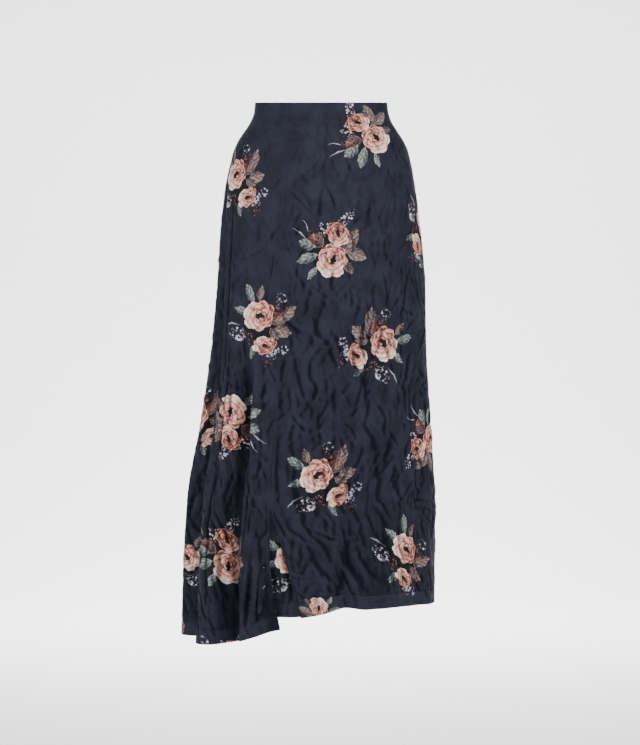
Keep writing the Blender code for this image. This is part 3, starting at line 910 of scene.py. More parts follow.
# A rose narrower than this has no innermost ring, and the outer rings alone make its outline.
LARGE_ROSE = 2.5
OUTER_RINGS = 2
ROSE_TONES = (
    (0.00, seen(58, 46, 38)), (0.20, seen(106, 66, 58)), (0.38, seen(160, 100, 90)),
    (0.56, seen(206, 144, 130)), (0.72, seen(226, 176, 160)), (0.86, seen(236, 204, 188)),
    (1.00, seen(242, 228, 214)),
)
BUD_TONES = (
    (0.00, seen(40, 26, 28)), (0.35, seen(82, 52, 50)), (0.65, seen(126, 84, 78)),
    (1.00, seen(182, 136, 126)),
)
GREEN_TONES = ((0.00, seen(30, 37, 39)), (0.50, seen(92, 101, 100)), (1.00, seen(170, 176, 170)))
TAUPE_TONES = ((0.00, seen(44, 36, 38)), (0.50, seen(102, 88, 86)), (1.00, seen(166, 146, 140)))
LILAC_TONES = ((0.00, seen(84, 40, 62)), (0.45, seen(140, 126, 146)), (1.00, seen(212, 208, 216)))
BERRY_TONES = ((0.00, seen(34, 26, 32)), (0.50, seen(76, 46, 50)), (1.00, seen(128, 88, 90)))
SHADE_COLOUR = seen(24, 28, 28)

LARGE_SPRAY = (
    Motif(Flower.SHADE, 0.8, -0.4, 0, 4.6, 4.4),
    Motif(Flower.TWIG, -4.9, -4.0, 128, 0.12, 1.7),
    Motif(Flower.GREEN_LEAF, -5.0, 2.8, 62, 0.95, 1.95, 0.08),
    Motif(Flower.TAUPE_LEAF, -3.2, 4.0, 22, 0.70, 1.45, 0.05),
    Motif(Flower.GREEN_LEAF, -4.7, -0.8, 104, 0.75, 1.55, 0.12),
    Motif(Flower.TAUPE_LEAF, 2.4, 2.1, -50, 1.00, 1.80, -0.10),
    Motif(Flower.TAUPE_LEAF, 3.1, 3.9, -14, 1.15, 2.15, 0.02),
    Motif(Flower.TAUPE_LEAF, 4.3, 1.0, -66, 1.20, 1.80, 0.08),
    Motif(Flower.TAUPE_LEAF, 3.2, -0.2, -110, 0.8, 1.4, -0.06),
    Motif(Flower.GREEN_LEAF, 1.7, -5.3, 200, 0.7, 1.4, 0.0),
    Motif(Flower.BERRIES, 1.3, 3.7, 20, 1.8, 1.5),
    Motif(Flower.BERRIES, 0.7, -3.6, 0, 1.7, 1.4),
    Motif(Flower.BERRIES, 5.0, -5.0, 30, 1.2, 1.0),
    Motif(Flower.LILAC, -2.7, -4.6, 24, 2.0, 1.3),
    Motif(Flower.LILAC, 5.7, -2.6, -34, 1.0, 2.3),
    Motif(Flower.LILAC, 0.7, 5.6, 10, 1.1, 0.9),
    Motif(Flower.BUD, 2.0, 2.7, -30, 0.75, 0.95),
    Motif(Flower.ROSE, 2.9, -2.9, -36, 1.85, 2.35, -0.02),
    Motif(Flower.ROSE, -1.2, 0.6, -14, 3.10, 3.15, 0.03),
)
TALL_SPRAY = (
    Motif(Flower.SHADE, -0.2, 0.4, 0, 4.2, 4.8),
    Motif(Flower.TWIG, -5.9, 2.9, 52, 0.10, 1.7),
    Motif(Flower.TWIG, -4.9, 4.3, 30, 0.09, 1.3),
    Motif(Flower.TAUPE_LEAF, -2.6, 1.6, 40, 1.10, 1.70, -0.14),
    Motif(Flower.GREEN_LEAF, -4.4, 1.0, 74, 1.15, 1.7, 0.08),
    Motif(Flower.GREEN_LEAF, -4.4, -1.5, 110, 1.00, 2.1, 0.10),
    Motif(Flower.GREEN_LEAF, -3.3, -4.2, 142, 0.65, 1.5, 0.14),
    Motif(Flower.TAUPE_LEAF, 2.9, 0.3, -64, 1.00, 1.80, -0.10),
    Motif(Flower.TAUPE_LEAF, 3.6, 1.9, -28, 1.20, 1.8, 0.02),
    Motif(Flower.TAUPE_LEAF, 4.5, -1.0, -108, 1.20, 2.1, 0.08),
    Motif(Flower.TAUPE_LEAF, 3.1, -3.2, -150, 0.8, 1.5, -0.05),
    Motif(Flower.BERRIES, -2.7, 2.2, 30, 2.1, 1.9),
    Motif(Flower.BERRIES, 2.9, 3.5, 0, 1.3, 1.2),
    Motif(Flower.LILAC, 2.3, 5.3, -38, 0.95, 2.2),
    Motif(Flower.LILAC, -1.5, 3.9, 30, 0.9, 1.2),
    Motif(Flower.BUD, -3.6, 1.9, 40, 0.7, 0.9),
    Motif(Flower.ROSE, 0.9, 2.7, 50, 2.05, 2.45, -0.12),
    Motif(Flower.ROSE, 0.1, -2.1, 30, 3.10, 3.05, 0.04),
)


class SprayDesign(Enum):
    """The two drawings of the print."""

    LARGE = LARGE_SPRAY
    TALL = TALL_SPRAY


@dataclass(frozen=True)
class Spray:
    """One spray of the print: its place (x on the front, angle elsewhere), drop, turn and size.

    It lies on every panel that meets it, or on one panel alone.
    """

    design: SprayDesign
    place: float
    drop: float
    turn: float
    mirrored: bool = False
    panel: str = ""
    size: float = 1.0


Origin = tuple[float, float, Spray]

FRONT_SPRAYS = (
    Spray(SprayDesign.TALL, 0.0830, 0.0660, 60),
    Spray(SprayDesign.LARGE, -0.1480, 0.1440, -8),
    Spray(SprayDesign.TALL, 0.0194, 0.2740, 0),
    Spray(SprayDesign.LARGE, 0.1960, 0.2300, -90),
    Spray(SprayDesign.LARGE, -0.1060, 0.4020, -34),
    Spray(SprayDesign.LARGE, 0.1010, 0.4430, -20, True),
    Spray(SprayDesign.TALL, -0.1570, 0.5800, 184),
    Spray(SprayDesign.TALL, 0.1900, 0.6120, 100, True),
    Spray(SprayDesign.LARGE, 0.0020, 0.6780, 0),
    Spray(SprayDesign.LARGE, 0.1500, 0.8165, -68),
    Spray(SprayDesign.TALL, -0.1700, 0.8160, 4),
    Spray(SprayDesign.TALL, -0.0005, 0.9150, 180, size=0.62),
    Spray(SprayDesign.LARGE, -0.2120, 1.0220, 0, panel="drape_panel"),
    Spray(SprayDesign.TALL, -0.1500, 1.0140, 0, panel="drape_panel"),
)
UNDERLAP_SPRAYS = (Spray(SprayDesign.LARGE, -0.0285, 0.8170, 0),)
BACK_SPRAYS = (
    Spray(SprayDesign.LARGE, 74, 0.0750, 30),
    Spray(SprayDesign.TALL, 146, 0.1200, -40, True),
    Spray(SprayDesign.TALL, 26, 0.1800, 10),
    Spray(SprayDesign.LARGE, 106, 0.2450, 160),
    Spray(SprayDesign.TALL, 166, 0.3000, 75),
    Spray(SprayDesign.LARGE, 54, 0.3350, -60, True),
    Spray(SprayDesign.LARGE, 2, 0.4100, 20),
    Spray(SprayDesign.TALL, 126, 0.4150, 0),
    Spray(SprayDesign.TALL, 82, 0.4900, -110, True),
    Spray(SprayDesign.LARGE, 156, 0.5350, 40),
    Spray(SprayDesign.TALL, 34, 0.5600, 60),
    Spray(SprayDesign.LARGE, 189, 0.5800, 12),
    Spray(SprayDesign.LARGE, 114, 0.6400, -20, True),
    Spray(SprayDesign.TALL, 72, 0.7050, 150),
    Spray(SprayDesign.LARGE, 10, 0.7200, 100),
    Spray(SprayDesign.TALL, 150, 0.7400, -70),
    Spray(SprayDesign.LARGE, 185.5, 0.8310, 4, True, size=0.82),
    Spray(SprayDesign.LARGE, 104, 0.8350, 30),
    Spray(SprayDesign.TALL, 46, 0.8450, -20, True),
    Spray(SprayDesign.TALL, 142, 0.9000, 110),
    Spray(SprayDesign.LARGE, 76, 0.9700, -100),
    Spray(SprayDesign.LARGE, 172, 1.0000, 10),
)


class SprayPainter:
    """Paints one spray's motifs over each other, from the print's own coordinates in centimetres."""

    def __init__(self, shader: Shader, ground: object) -> None:
        """Start from the ground colour.

        Args:
            shader: the tree to paint in.
            ground: the ground's colour, on a socket.
        """
        self.shader = shader
        self.colour = ground
        here = shader.add("ShaderNodeUVMap", {"uv_map": "print"}).outputs[0]
        at = self._wavered(self._wavered(here, 1.1, 0.34), 3.6, 0.12)
        parts = shader.add("ShaderNodeSeparateXYZ", inputs={0: at})
        self.plot = Plot(Value(shader, parts.outputs[0]), Value(shader, parts.outputs[1]))
        self.grain = Value(shader, shader.noise(at, 2.6, 3.0).outputs["Fac"]) - 0.5
        dots = shader.add("ShaderNodeTexVoronoi", {"feature": "F1"}, {"Vector": at, "Scale": 2.1})
        self.dot_reach = Value(shader, dots.outputs["Distance"])
        tint = shader.add("ShaderNodeSeparateColor", inputs={0: dots.outputs["Color"]})
        self.dot_tint = Value(shader, tint.outputs[0])

    def _wavered(self, at: object, scale: float, amount: float) -> bpy.types.NodeSocket:
        """Coordinates moved a little by noise, so that edges look brushed.

        Args:
            at: the coordinates' socket.
            scale: the noise's scale.
            amount: how far they move, in centimetres.

        Returns:
            The moved coordinates' socket.
        """
        add = self.shader.add
        noise = self.shader.noise(at, scale).outputs["Color"]
        centred = add("ShaderNodeVectorMath", {"operation": "SUBTRACT"},
                      {0: noise, 1: (0.5, 0.5, 0.5)})
        small = add("ShaderNodeVectorMath", {"operation": "SCALE"},
                    {0: centred.outputs[0], 3: amount * 2})
        moved = add("ShaderNodeVectorMath", {"operation": "ADD"}, {0: at, 1: small.outputs[0]})
        return moved.outputs[0]

    def paint(self, motif: Motif) -> None:
        """Paint one motif.

        Args:
            motif: the motif's row.
        """
        own = self.plot.placed(motif.x, motif.y, motif.turn, motif.wide, motif.long)
        if motif.flower is Flower.ROSE:
            self._rose(motif, own)
        elif motif.flower is Flower.GREEN_LEAF:
            self._leaf(motif, own, GREEN_TONES)
        elif motif.flower is Flower.TAUPE_LEAF:
            self._leaf(motif, own, TAUPE_TONES)
        elif motif.flower is Flower.BUD:
            self._bud(own)
        elif motif.flower is Flower.TWIG:
            self._twig(own)
        elif motif.flower is Flower.SHADE:
            self._shade(own)
        elif motif.flower is Flower.LILAC:
            self._dots(own, LILAC_TONES)
        else:
            self._dots(own, BERRY_TONES)

    def _lay(self, cover: Value, tone: Value, tones: Sequence) -> None:
        """Lay a shape over what is painted so far."""
        self.colour = self.shader.mix(cover, self.colour, self.shader.ramp(tone, tones))

    def _shade(self, own: Plot) -> None:
        """Dark leaves and shadow behind the flowers."""
        cover = (own.square() + self.grain * 3.0).step(1.0, 0.5, 0.0, 0.85)
        self.colour = self.shader.mix(cover, self.colour, SHADE_COLOUR)

    def _leaf(self, motif: Motif, own: Plot, tones: Sequence) -> None:
        """Pointed leaf with a rib, veins and one side lighter.

        Args:
            motif: the leaf's row.
            own: its coordinates.
            tones: its ramp.
        """
        side = abs(own.x)
        cover = own.y.fused(own.y, side).step(1.0, 0.84)
        veins = side.fused(-0.9, own.y).wave(11.0)
        rib = side.step(0.12, 0.0, 0.42 + motif.tone, 0.78 + motif.tone)
        tone = own.x.fused(0.22, veins.fused(0.16, self.grain.fused(1.0, rib)))
        self._lay(cover, tone, tones)

    def _twig(self, own: Plot) -> None:
        """Thin pale stem.

        Args:
            own: its coordinates.
        """
        length = own.y * own.y
        cover = (abs(length.fused(3.0, own.x) - 1.5) + length).step(1.3, 0.7, 0.0, 0.75)
        self._lay(cover, self.grain + 0.7, LILAC_TONES)

    def _bud(self, own: Plot) -> None:
        """Closed bud, lighter to one side.

        Args:
            own: its coordinates.
        """
        cover = own.square().step(1.0, 0.72)
        stripes = own.x.fused(1.3, own.y).wave(5.0)
        tone = own.x.fused(0.28, stripes.fused(0.12, self.grain.fused(0.7, own.y.fused(0.15, 0.5))))
        self._lay(cover, tone, BUD_TONES)

    def _dots(self, own: Plot, tones: Sequence) -> None:
        """Sprig of small blossoms or berries.

        Args:
            own: its coordinates.
            tones: its ramp.
        """
        zone = self.grain.fused(1.8, own.square()).step(1.0, 0.64)
        cover = zone * self.dot_reach.step(0.50, 0.36)
        tone = self.dot_tint.fused(0.9, self.dot_reach.fused(-0.8, 0.45))
        self._lay(cover, tone, tones)

    def _rose(self, motif: Motif, own: Plot) -> None:
        """Open rose: rings of petals from the outside in, each over the shadow that it casts.

        Args:
            motif: the rose's row.
            own: its coordinates.
        """
        tone = own.x.fused(0.0, 0.12)
        cover = own.x.fused(0.0, 0.0)
        rings = ROSE_RINGS if motif.wide > LARGE_ROSE else ROSE_RINGS[:-1]
        # The sines make the petals uneven in turn, reach and tone.
        for number, ring in enumerate(rings):
            for petal in range(ring.count):
                turn = ring.start + 360 * petal / ring.count + 9 * math.sin(2.4 * petal + number)
                far = ring.reach * (1 + 0.10 * math.sin(1.7 * petal + 2.1 * number))
                x = far * math.cos(math.radians(turn)) + ROSE_HEART[0] * ring.lean
                y = far * math.sin(math.radians(turn)) + ROSE_HEART[1] * ring.lean
                shape = own.placed(x, y, turn - 90, ring.wide, ring.long)
                away = shape.square()
                inside = away.step(1.0, 0.78)
                shaded = tone * away.step(0.96, 2.0, ring.shade, 1.0)
                tint = shape.y.fused(ring.gain, ring.tone + 0.09 * math.sin(5.1 * petal + number))
                tone = shaded.towards(tint, inside)
                if number < OUTER_RINGS:
                    cover = cover | inside
        heart = own.placed(*ROSE_HEART, 25, 0.055, 0.08)
        tone = tone * heart.square().step(0.5, 2.2, 0.45, 1.0)
        lit = own.x.fused(-0.13, own.y.fused(-0.12, tone + motif.tone))
        self._lay(cover, self.grain.fused(0.62, lit), ROSE_TONES)


# ---------------------------------------------------------------- finishes


@dataclass(frozen=True)
class SatinFinish:
    """Washed navy satin: the printed face, in one of the print's two drawings."""

    ground: Colour = seen(41, 43, 54)
    ground_dark: Colour = seen(34, 35, 45)
    hem_ground: Colour = seen(43, 45, 56)
    roughness: float = 0.54
    specular: float = 0.05
    crush: float = 1.4 * MM
    crush_stretch: float = 0.40
    crush_scale: float = 112.0
    facet_scale: float = 140.0
    facet_share: float = 0.75
    sway_scale: float = 60.0
    sway: float = 0.012
    cloud_scale: float = 30.0
    weave_scale: float = 1500.0
    weave_share: float = 0.02
    # Painted shade laid into the colour in creases, valleys, the fold's rim and along seams: its
    # colour, how much of it, and the roughness it adds.
    painted_shade: Colour = seen(12, 13, 20)
    painted_shade_cover: float = 0.7
    painted_shade_roughness: float = 0.4

    def crush_height(self, shader: Shader) -> Value:
        """Height of the finest crush: pillows between sharp troughs, longest down the cloth.

        Args:
            shader: the tree to add to.

        Returns:
            The height, as a share of the crush's depth.
        """
        cloth = shader.add("ShaderNodeUVMap", {"uv_map": "cloth"}).outputs[0]
        long = shader.add("ShaderNodeMapping", {"vector_type": "POINT"},
                          {"Vector": cloth, "Scale": (1.0, self.crush_stretch, 1.0)})
        ridged = shader.add("ShaderNodeTexNoise",
                            {"noise_type": "RIDGED_MULTIFRACTAL", "normalize": True},
                            {"Vector": long.outputs[0], "Scale": self.crush_scale, "Detail": 4.0,
                             "Roughness": 0.55, "Lacunarity": 2.1, "Distortion": 0.6})
        facets = shader.add("ShaderNodeTexVoronoi", {"feature": "SMOOTH_F1"},
                            {"Vector": self._swayed(shader, long.outputs[0]),
                             "Scale": self.facet_scale, "Smoothness": 0.25})
        pillows = 1.0 - Value(shader, ridged.outputs["Fac"])
        height = Value(shader, facets.outputs["Distance"]).fused(-self.facet_share, pillows)
        return height * shader.attribute("crushed").fused(0.7, 0.3)

    def _swayed(self, shader: Shader, at: bpy.types.NodeSocket) -> bpy.types.NodeSocket:
        """Places moved by noise, so that the facets between creases are uneven.

        Args:
            shader: the tree to add to.
            at: the places' socket.

        Returns:
            The moved places' socket.
        """
        noise = shader.noise(at, self.sway_scale).outputs["Color"]
        small = shader.add("ShaderNodeVectorMath", {"operation": "SCALE"}, {0: noise, 3: self.sway})
        moved = shader.add("ShaderNodeVectorMath", {"operation": "ADD"}, {0: at, 1: small.outputs[0]})
        return moved.outputs[0]

    def ground_colour(self, shader: Shader, at: object) -> bpy.types.NodeSocket:
        """The dyed ground, slightly uneven from washing, and lighter over the turned-up hem.

        Args:
            shader: the tree to add to.
            at: the places' socket.

        Returns:
            The colour's socket.
        """
        cloud = Value(shader, shader.noise(at, self.cloud_scale, 3.0).outputs["Fac"])
        dyed = shader.mix(cloud.step(0.35, 0.65), self.ground_dark, self.ground)
        return shader.mix(shader.attribute("hem_band"), dyed, self.hem_ground)

    def bump(self, shader: Shader, at: object, height: Value) -> bpy.types.NodeSocket:
        """Normal of the finest crush and the weave, which are below the mesh's own creases.

        Args:
            shader: the tree to add to.
            at: the places' socket.
            height: the crush's height.

        Returns:
            The normal's socket.
        """
        weave = Value(shader, shader.noise(at, self.weave_scale, 1.0).outputs["Fac"])
        node = shader.add("ShaderNodeBump", {}, {"Strength": 1.0, "Distance": self.crush,
                                                 "Height": weave.fused(self.weave_share, height)})
        return node.outputs[0]

    def printed(self, design: SprayDesign) -> bpy.types.Material:
        """The face side, with one drawing of the print.

        Args:
            design: the drawing.

        Returns:
            The material.
        """
        shader = Shader(f"satin_{design.name.lower()}_spray")
        at = shader.add("ShaderNodeTexCoord").outputs["Object"]
        painter = SprayPainter(shader, self.ground_colour(shader, at))
        for motif in design.value:
            painter.paint(motif)
        return self._surface(shader, painter.colour, at)

    def reverse(self) -> bpy.types.Material:
        """The duller wrong side.

        Returns:
            The material.
        """
        shader = Shader("satin_reverse")
        at = shader.add("ShaderNodeTexCoord").outputs["Object"]
        return self._surface(shader, self.ground_colour(shader, at), at)

    def _surface(self, shader: Shader, colour: object, at: object) -> bpy.types.Material:
        """Principled surface of the satin, with painted shade: its colour is darker down in its
        creases, in the cores of deep valleys, along the fold's rim and along its sides.

        Args:
            shader: the material's tree.
            colour: its colour's socket.
            at: the places' socket.

        Returns:
            The material.
        """
        # Painted shade: how much each point is darkened towards the shade colour, and made rougher.
        deep = shader.attribute("painted_shade")
        node = shader.add("ShaderNodeBsdfPrincipled", {}, {
            "Base Color": shader.mix(deep * self.painted_shade_cover, colour, self.painted_shade),
            "Roughness": deep.fused(self.painted_shade_roughness, self.roughness),
            "Specular IOR Level": self.specular,
            "Normal": self.bump(shader, at, self.crush_height(shader))})
        shader.add("ShaderNodeOutputMaterial", {}, {"Surface": node.outputs[0]})
        return shader.material


@dataclass(frozen=True)
class PlainFinish:
    """A small part's finish: tape, thread or lacquered metal, with a fine grain."""

    name: str
    dark: Colour
    light: Colour
    roughness: float
    metallic: float
    grain: float
    relief: float

    def material(self) -> bpy.types.Material:
        """Principled material with the finish's colour, grain and relief.

        Returns:
            The material.
        """
        shader = Shader(self.name)
        at = shader.add("ShaderNodeTexCoord").outputs["Object"]
        cloud = Value(shader, shader.noise(at, self.grain, 3.0).outputs["Fac"])
        bump = shader.add("ShaderNodeBump", {}, {"Strength": 0.3, "Distance": self.relief,
                                                 "Height": cloud})
        node = shader.add("ShaderNodeBsdfPrincipled", {}, {
            "Base Color": shader.mix(cloud.step(0.3, 0.7), self.dark, self.light),
            "Roughness": cloud * 0.12 + (self.roughness - 0.06), "Metallic": self.metallic,
            "Normal": bump.outputs[0]})
        shader.add("ShaderNodeOutputMaterial", {}, {"Surface": node.outputs[0]})
        return shader.material


ZIP_TAPE = PlainFinish("zip_tape_weave", seen(28, 30, 40), seen(38, 40, 52), roughness=0.85,
                       metallic=0.0, grain=1800.0, relief=0.2 * MM)
ZIP_COIL = PlainFinish("zip_coil_nylon", seen(24, 26, 36), seen(34, 36, 48), roughness=0.45,
                       metallic=0.0, grain=900.0, relief=0.05 * MM)
ZIP_ENAMEL = PlainFinish("zip_enamel", seen(34, 36, 46), seen(52, 54, 66), roughness=0.36,
                         metallic=0.6, grain=700.0, relief=0.04 * MM)
THREAD = PlainFinish("sewing_thread", seen(30, 32, 44), seen(46, 48, 62), roughness=0.60,
                     metallic=0.0, grain=2500.0, relief=0.1 * MM)


# ---------------------------------------------------------------- cloth panels


@dataclass
class ClothGrid:
    """A panel's points before creasing, with its cloth coordinates."""

    angle: np.ndarray
    drop: np.ndarray
    points: np.ndarray
    normals: np.ndarray
    across: np.ndarray
    down: np.ndarray


def face_normals(points: np.ndarray) -> np.ndarray:
    """Unit normals of a grid of points, one for each point, pointing out.

    Args:
        points: rows of points down the cloth.

    Returns:
        The normals, in the same grid.
    """
    down = np.gradient(points, axis=0)
    around = np.gradient(points, axis=1)
    normal = np.cross(down, around)
    return normal / np.linalg.norm(normal, axis=-1, keepdims=True)


def blurred(values: np.ndarray) -> np.ndarray:
    """A grid of numbers, each averaged with its neighbours.

    Args:
        values: the grid.

    Returns:
        The averaged grid.
    """
    for axis in (0, 1):
        ahead = np.roll(values, -1, axis)
        behind = np.roll(values, 1, axis)
        edge = [slice(None)] * 2
        edge[axis] = -1
        ahead[tuple(edge)] = values[tuple(edge)]
        edge[axis] = 0
        behind[tuple(edge)] = values[tuple(edge)]
        values = (ahead + 2 * values + behind) / 4
    return values


@dataclass(frozen=True)
class Groove:
    """Painted shade along a panel's side, where its cloth turns in: how dark it is, and its width in
    millimetres.
    """

    dark: float = 0.0
    width: float = 2.2
    top: float = 0.0
    fade: float = 0.03

    def shade(self, drop: np.ndarray) -> np.ndarray:
        """Darkness of the painted shade at each drop, none above its top."""
        return self.dark * np.clip((drop - self.top) / self.fade, 0, 1)


@dataclass
class ClothPanel:
    """One cut panel of the skirt: its grid, its creases, its print and its thin wall.

    Its creases and sprays are placed by x as seen from the front, or else by angle. The print is
    measured across from its seam at the start edge, or else at the end edge. Its cut is the flat
    width and length of its cloth.
    """

    name: str
    node: str
    start: Edge
    end: Edge
    hem: Sequence[HemPoint]
    columns: int
    rows: int
    creases: Sequence[Crease]
    placed_by_x: bool
    seam_at_end: bool
    cut: tuple[float, float]
    cut_area: float
    seed: int
    # Painted shade along the start side and the end side.
    grooves: tuple[Groove, Groove]
    # How dark the painted shade along the fold's rim is.
    rim: float = 0.0
    top: float | None = None
    out: Offset = level
    crumple: float = 1.0
    wall: float = 0.7 * MM
    hem_wall: float = 1.5 * MM
    inset: float = 0.1 * MM
    sharp_angle: float = 60.0
    main_gain: float = 1.8
    small: SmallCreases = SmallCreases()
    hold_width: float = 7.0 * MM
    press_width: float = 1.6 * MM
    press_depth: float = 0.3 * MM
    hem_rise: float = 0.35 * MM
    rim_top: float = 0.17
    rim_fade: float = 0.10
    rim_width: float = 2.8 * MM
    dip_depth: float = 0.25 * MM
    dip_width: float = 1.8 * MM
    # How far a point lies below its blurred surroundings for full painted shade in a crease, and how
    # many times they are blurred.
    painted_shade_full: float = 0.85 * MM
    painted_shade_blurs: int = 9
    grid: ClothGrid = field(init=False)
    heights: np.ndarray = field(init=False)

    def __post_init__(self) -> None:
        """Lay out the grid and crease it."""
        self.grid = self._lay_out()
        self.heights = self._creased()

    def _lay_out(self) -> ClothGrid:
        """Grid from seam to seam and from the waist edge to the hem.

        Returns:
            The grid.
        """
        form = WornForm
        across = np.linspace(0, 1, self.columns)
        down = np.linspace(0, 1, self.rows)[:, None]
        hem_start = form.edge(self.start, self.hem[0].drop)
        hem_end = form.edge(self.end, self.hem[-1].drop)
        hem_angles = hem_start + (hem_end - hem_start) % 360 * across
        hems = smooth_values(hem_angles, column(self.hem, "angle"), column(self.hem, "drop"))
        top_start = form.edge(self.start, 0.0)
        top_angles = top_start + (form.edge(self.end, 0.0) - top_start) % 360 * across
        tops = form.waist_drop(top_angles) if self.top is None else self.top + 0 * across
        drop = tops + (hems - tops) * down
        starts = form.edge(self.start, drop, self.half_gap(self.start, drop))
        ends = form.edge(self.end, drop, -self.half_gap(self.end, drop))
        angle = starts + (ends - starts) % 360 * across
        points = form.points(angle, drop, self.out)
        steps = np.linalg.norm(np.diff(points, axis=1), axis=-1)
        along = np.concatenate([np.zeros((self.rows, 1)), np.cumsum(steps, axis=1)], axis=1)
        if self.seam_at_end:
            along -= along[:, -1:]
        falls = np.linalg.norm(np.diff(points, axis=0), axis=-1)
        length = np.concatenate([drop[:1], drop[:1] + np.cumsum(falls, axis=0)], axis=0)
        return ClothGrid(angle, drop, points, self._form_normals(angle, drop), along, length)

    def _form_normals(self, angle: np.ndarray, drop: np.ndarray) -> np.ndarray:
        """Unit normals of the form itself, so that neighbours agree at their shared seam.

        Args:
            angle: angles in degrees.
            drop: drops in metres.

        Returns:
            One normal for each angle and drop, pointing out.
        """
        turn, fall = 0.3, 1.0 * MM
        at = WornForm.points
        around = at(angle + turn, drop, self.out) - at(angle - turn, drop, self.out)
        down = at(angle, drop + fall, self.out) - at(angle, drop - fall, self.out)
        normal = np.cross(down, around)
        return normal / np.linalg.norm(normal, axis=-1, keepdims=True)

    @staticmethod
    def half_gap(edge: Edge, drop: np.ndarray) -> np.ndarray:
        """Half the gap at a seam. The back seam opens at its top for the zip's slider.

        Args:
            edge: the seam.
            drop: drops in metres.

        Returns:
            Metres to each side of the seam.
        """
        if edge is not CENTRE_BACK_SEAM:
            return 0 * drop
        mouth_drop, closed_drop, mouth = 12.1 * MM, 22.0 * MM, 1.0 * MM
        return np.interp(drop, (mouth_drop, closed_drop), (mouth, 0.0))

    def nearest(self, place: float, drop: float) -> tuple[float, float, float]:
        """Cloth coordinates of a place.

        Args:
            place: x on a front panel, or an angle.
            drop: its drop.

        Returns:
            Across, down, and how far off the nearest point is.
        """
        grid = self.grid
        depth_share, radius = 0.03, 0.18
        if self.placed_by_x:
            behind = depth_share * (grid.points[..., 1] - grid.points[..., 1].min())
            miss = np.hypot(grid.points[..., 0] - place, grid.drop - drop) + behind
        else:
            turn = (grid.angle - place + 180) % 360 - 180
            miss = np.hypot(np.radians(turn) * radius, grid.drop - drop)
        at = np.unravel_index(np.argmin(miss), miss.shape)
        return grid.across[at], grid.down[at] + drop - grid.drop[at], miss[at]

    def _crease(self, height: np.ndarray, across: float, down: float, crease: Crease) -> None:
        """Add one crease to the heights, in place.

        Args:
            height: the heights, which change.
            across: the crease's middle on the cloth.
            down: the same, down the cloth.
            crease: its row.
        """
        grid = self.grid
        half = crease.length * MM / 2
        reach = half + 4 * crease.width * MM
        slack = 0.07
        lengths = grid.down[:, 0]
        first, last = np.searchsorted(lengths, (down - reach - slack, down + reach + slack))
        middle = min(max(int(np.searchsorted(lengths, down)), 0), self.rows - 1)
        left, right = np.searchsorted(grid.across[middle],
                                      (across - reach - slack, across + reach + slack))
        window = (slice(first, last), slice(left, right))
        side, fall = grid.across[window] - across, grid.down[window] - down
        turn = math.radians(crease.turn)
        along = (fall * math.cos(turn) + side * math.sin(turn)) / half
        bend = crease.bend * MM * (along * along - CREASE_BEND_AT)
        off = abs(side * math.cos(turn) - fall * math.sin(turn) + bend) / (crease.width * MM)
        taper = np.clip(1 - along * along, 0, 1) ** CREASE_TAPER
        shoulder = SHOULDER * np.exp(-((off - SHOULDER_AT) / SHOULDER_WIDTH) ** 2)
        height[window] += crease.depth * MM * taper * (np.exp(-off ** CREASE_SHARPNESS) - shoulder)

    def _strength(self) -> np.ndarray:
        """How crushed the cloth is: little at the waist, most over the knees, pressed at the hem.

        Returns:
            A share for each point.
        """
        strength = np.interp(self.grid.drop, (0.0, 0.03, 0.10, 0.25, 0.45, 0.75, 1.0),
                             (0.0, 0.12, 0.32, 0.55, 0.95, 1.1, 1.0))
        pressed = np.interp(self._to_hem(), (0.0, HEM_DEPTH * 0.9, HEM_DEPTH * 1.3),
                            (0.35, 0.45, 1.0))
        return strength * pressed

    def _loose(self) -> np.ndarray:
        """How much of the small crush there is: little on the smooth right front, below the hip.

        Returns:
            A share for each point.
        """
        if not self.placed_by_x:
            return np.ones(self.grid.drop.shape)
        calm, middle_x, middle_drop, half_x, half_drop = 0.75, -0.130, 0.33, 0.040, 0.17
        aside = (self.grid.points[..., 0] - middle_x) / half_x
        below = (self.grid.drop - middle_drop) / half_drop
        return 1 - calm * np.exp(-aside ** 2 - below ** 2)

    def _crush(self) -> np.ndarray:
        """Heights of the many small creases, drawn from a fixed seed.

        Returns:
            Metres out for each point.
        """
        grid = self.grid
        fine = np.zeros(grid.drop.shape)
        draw = np.random.default_rng(self.seed)
        low_across, high_across = grid.across.min(), grid.across.max()
        low_down, high_down = grid.down.min(), grid.down.max()
        area = (high_across - low_across) * (high_down - low_down)
        for _ in range(int(self.small.count * area * self.crumple)):
            small = self.small.drawn(draw)
            self._crease(fine, draw.uniform(low_across, high_across),
                         draw.uniform(low_down, high_down), small)
        return fine

    def _creased(self) -> np.ndarray:
        """How far the creases, the crush and the pressed hem move each point out.

        Returns:
            Metres out for each point.
        """
        grid = self.grid
        main = np.zeros(grid.drop.shape)
        for crease in self.creases:
            across, down, _ = self.nearest(crease.place, crease.drop)
            self._crease(main, across, down, crease)
        to_hem = self._to_hem()
        pressed = -self.press_depth * np.exp(-((to_hem - HEM_DEPTH) / self.press_width) ** 2)
        pressed += self.hem_rise * (to_hem < HEM_DEPTH - self.press_width)
        crush = self._crush() * self._loose()
        heights = (main * self.main_gain + crush) * self._strength() + pressed
        return heights * self._hold(self.hold_width) + self._seam_dip()

    def _to_hem(self) -> np.ndarray:
        """How far each point is above the hem."""
        return self.grid.drop[-1:] - self.grid.drop

    def _from_sides(self) -> tuple[np.ndarray, np.ndarray]:
        """Distances along the cloth from its start edge and to its end edge."""
        across = self.grid.across
        return across - across[:, :1], across[:, -1:] - across

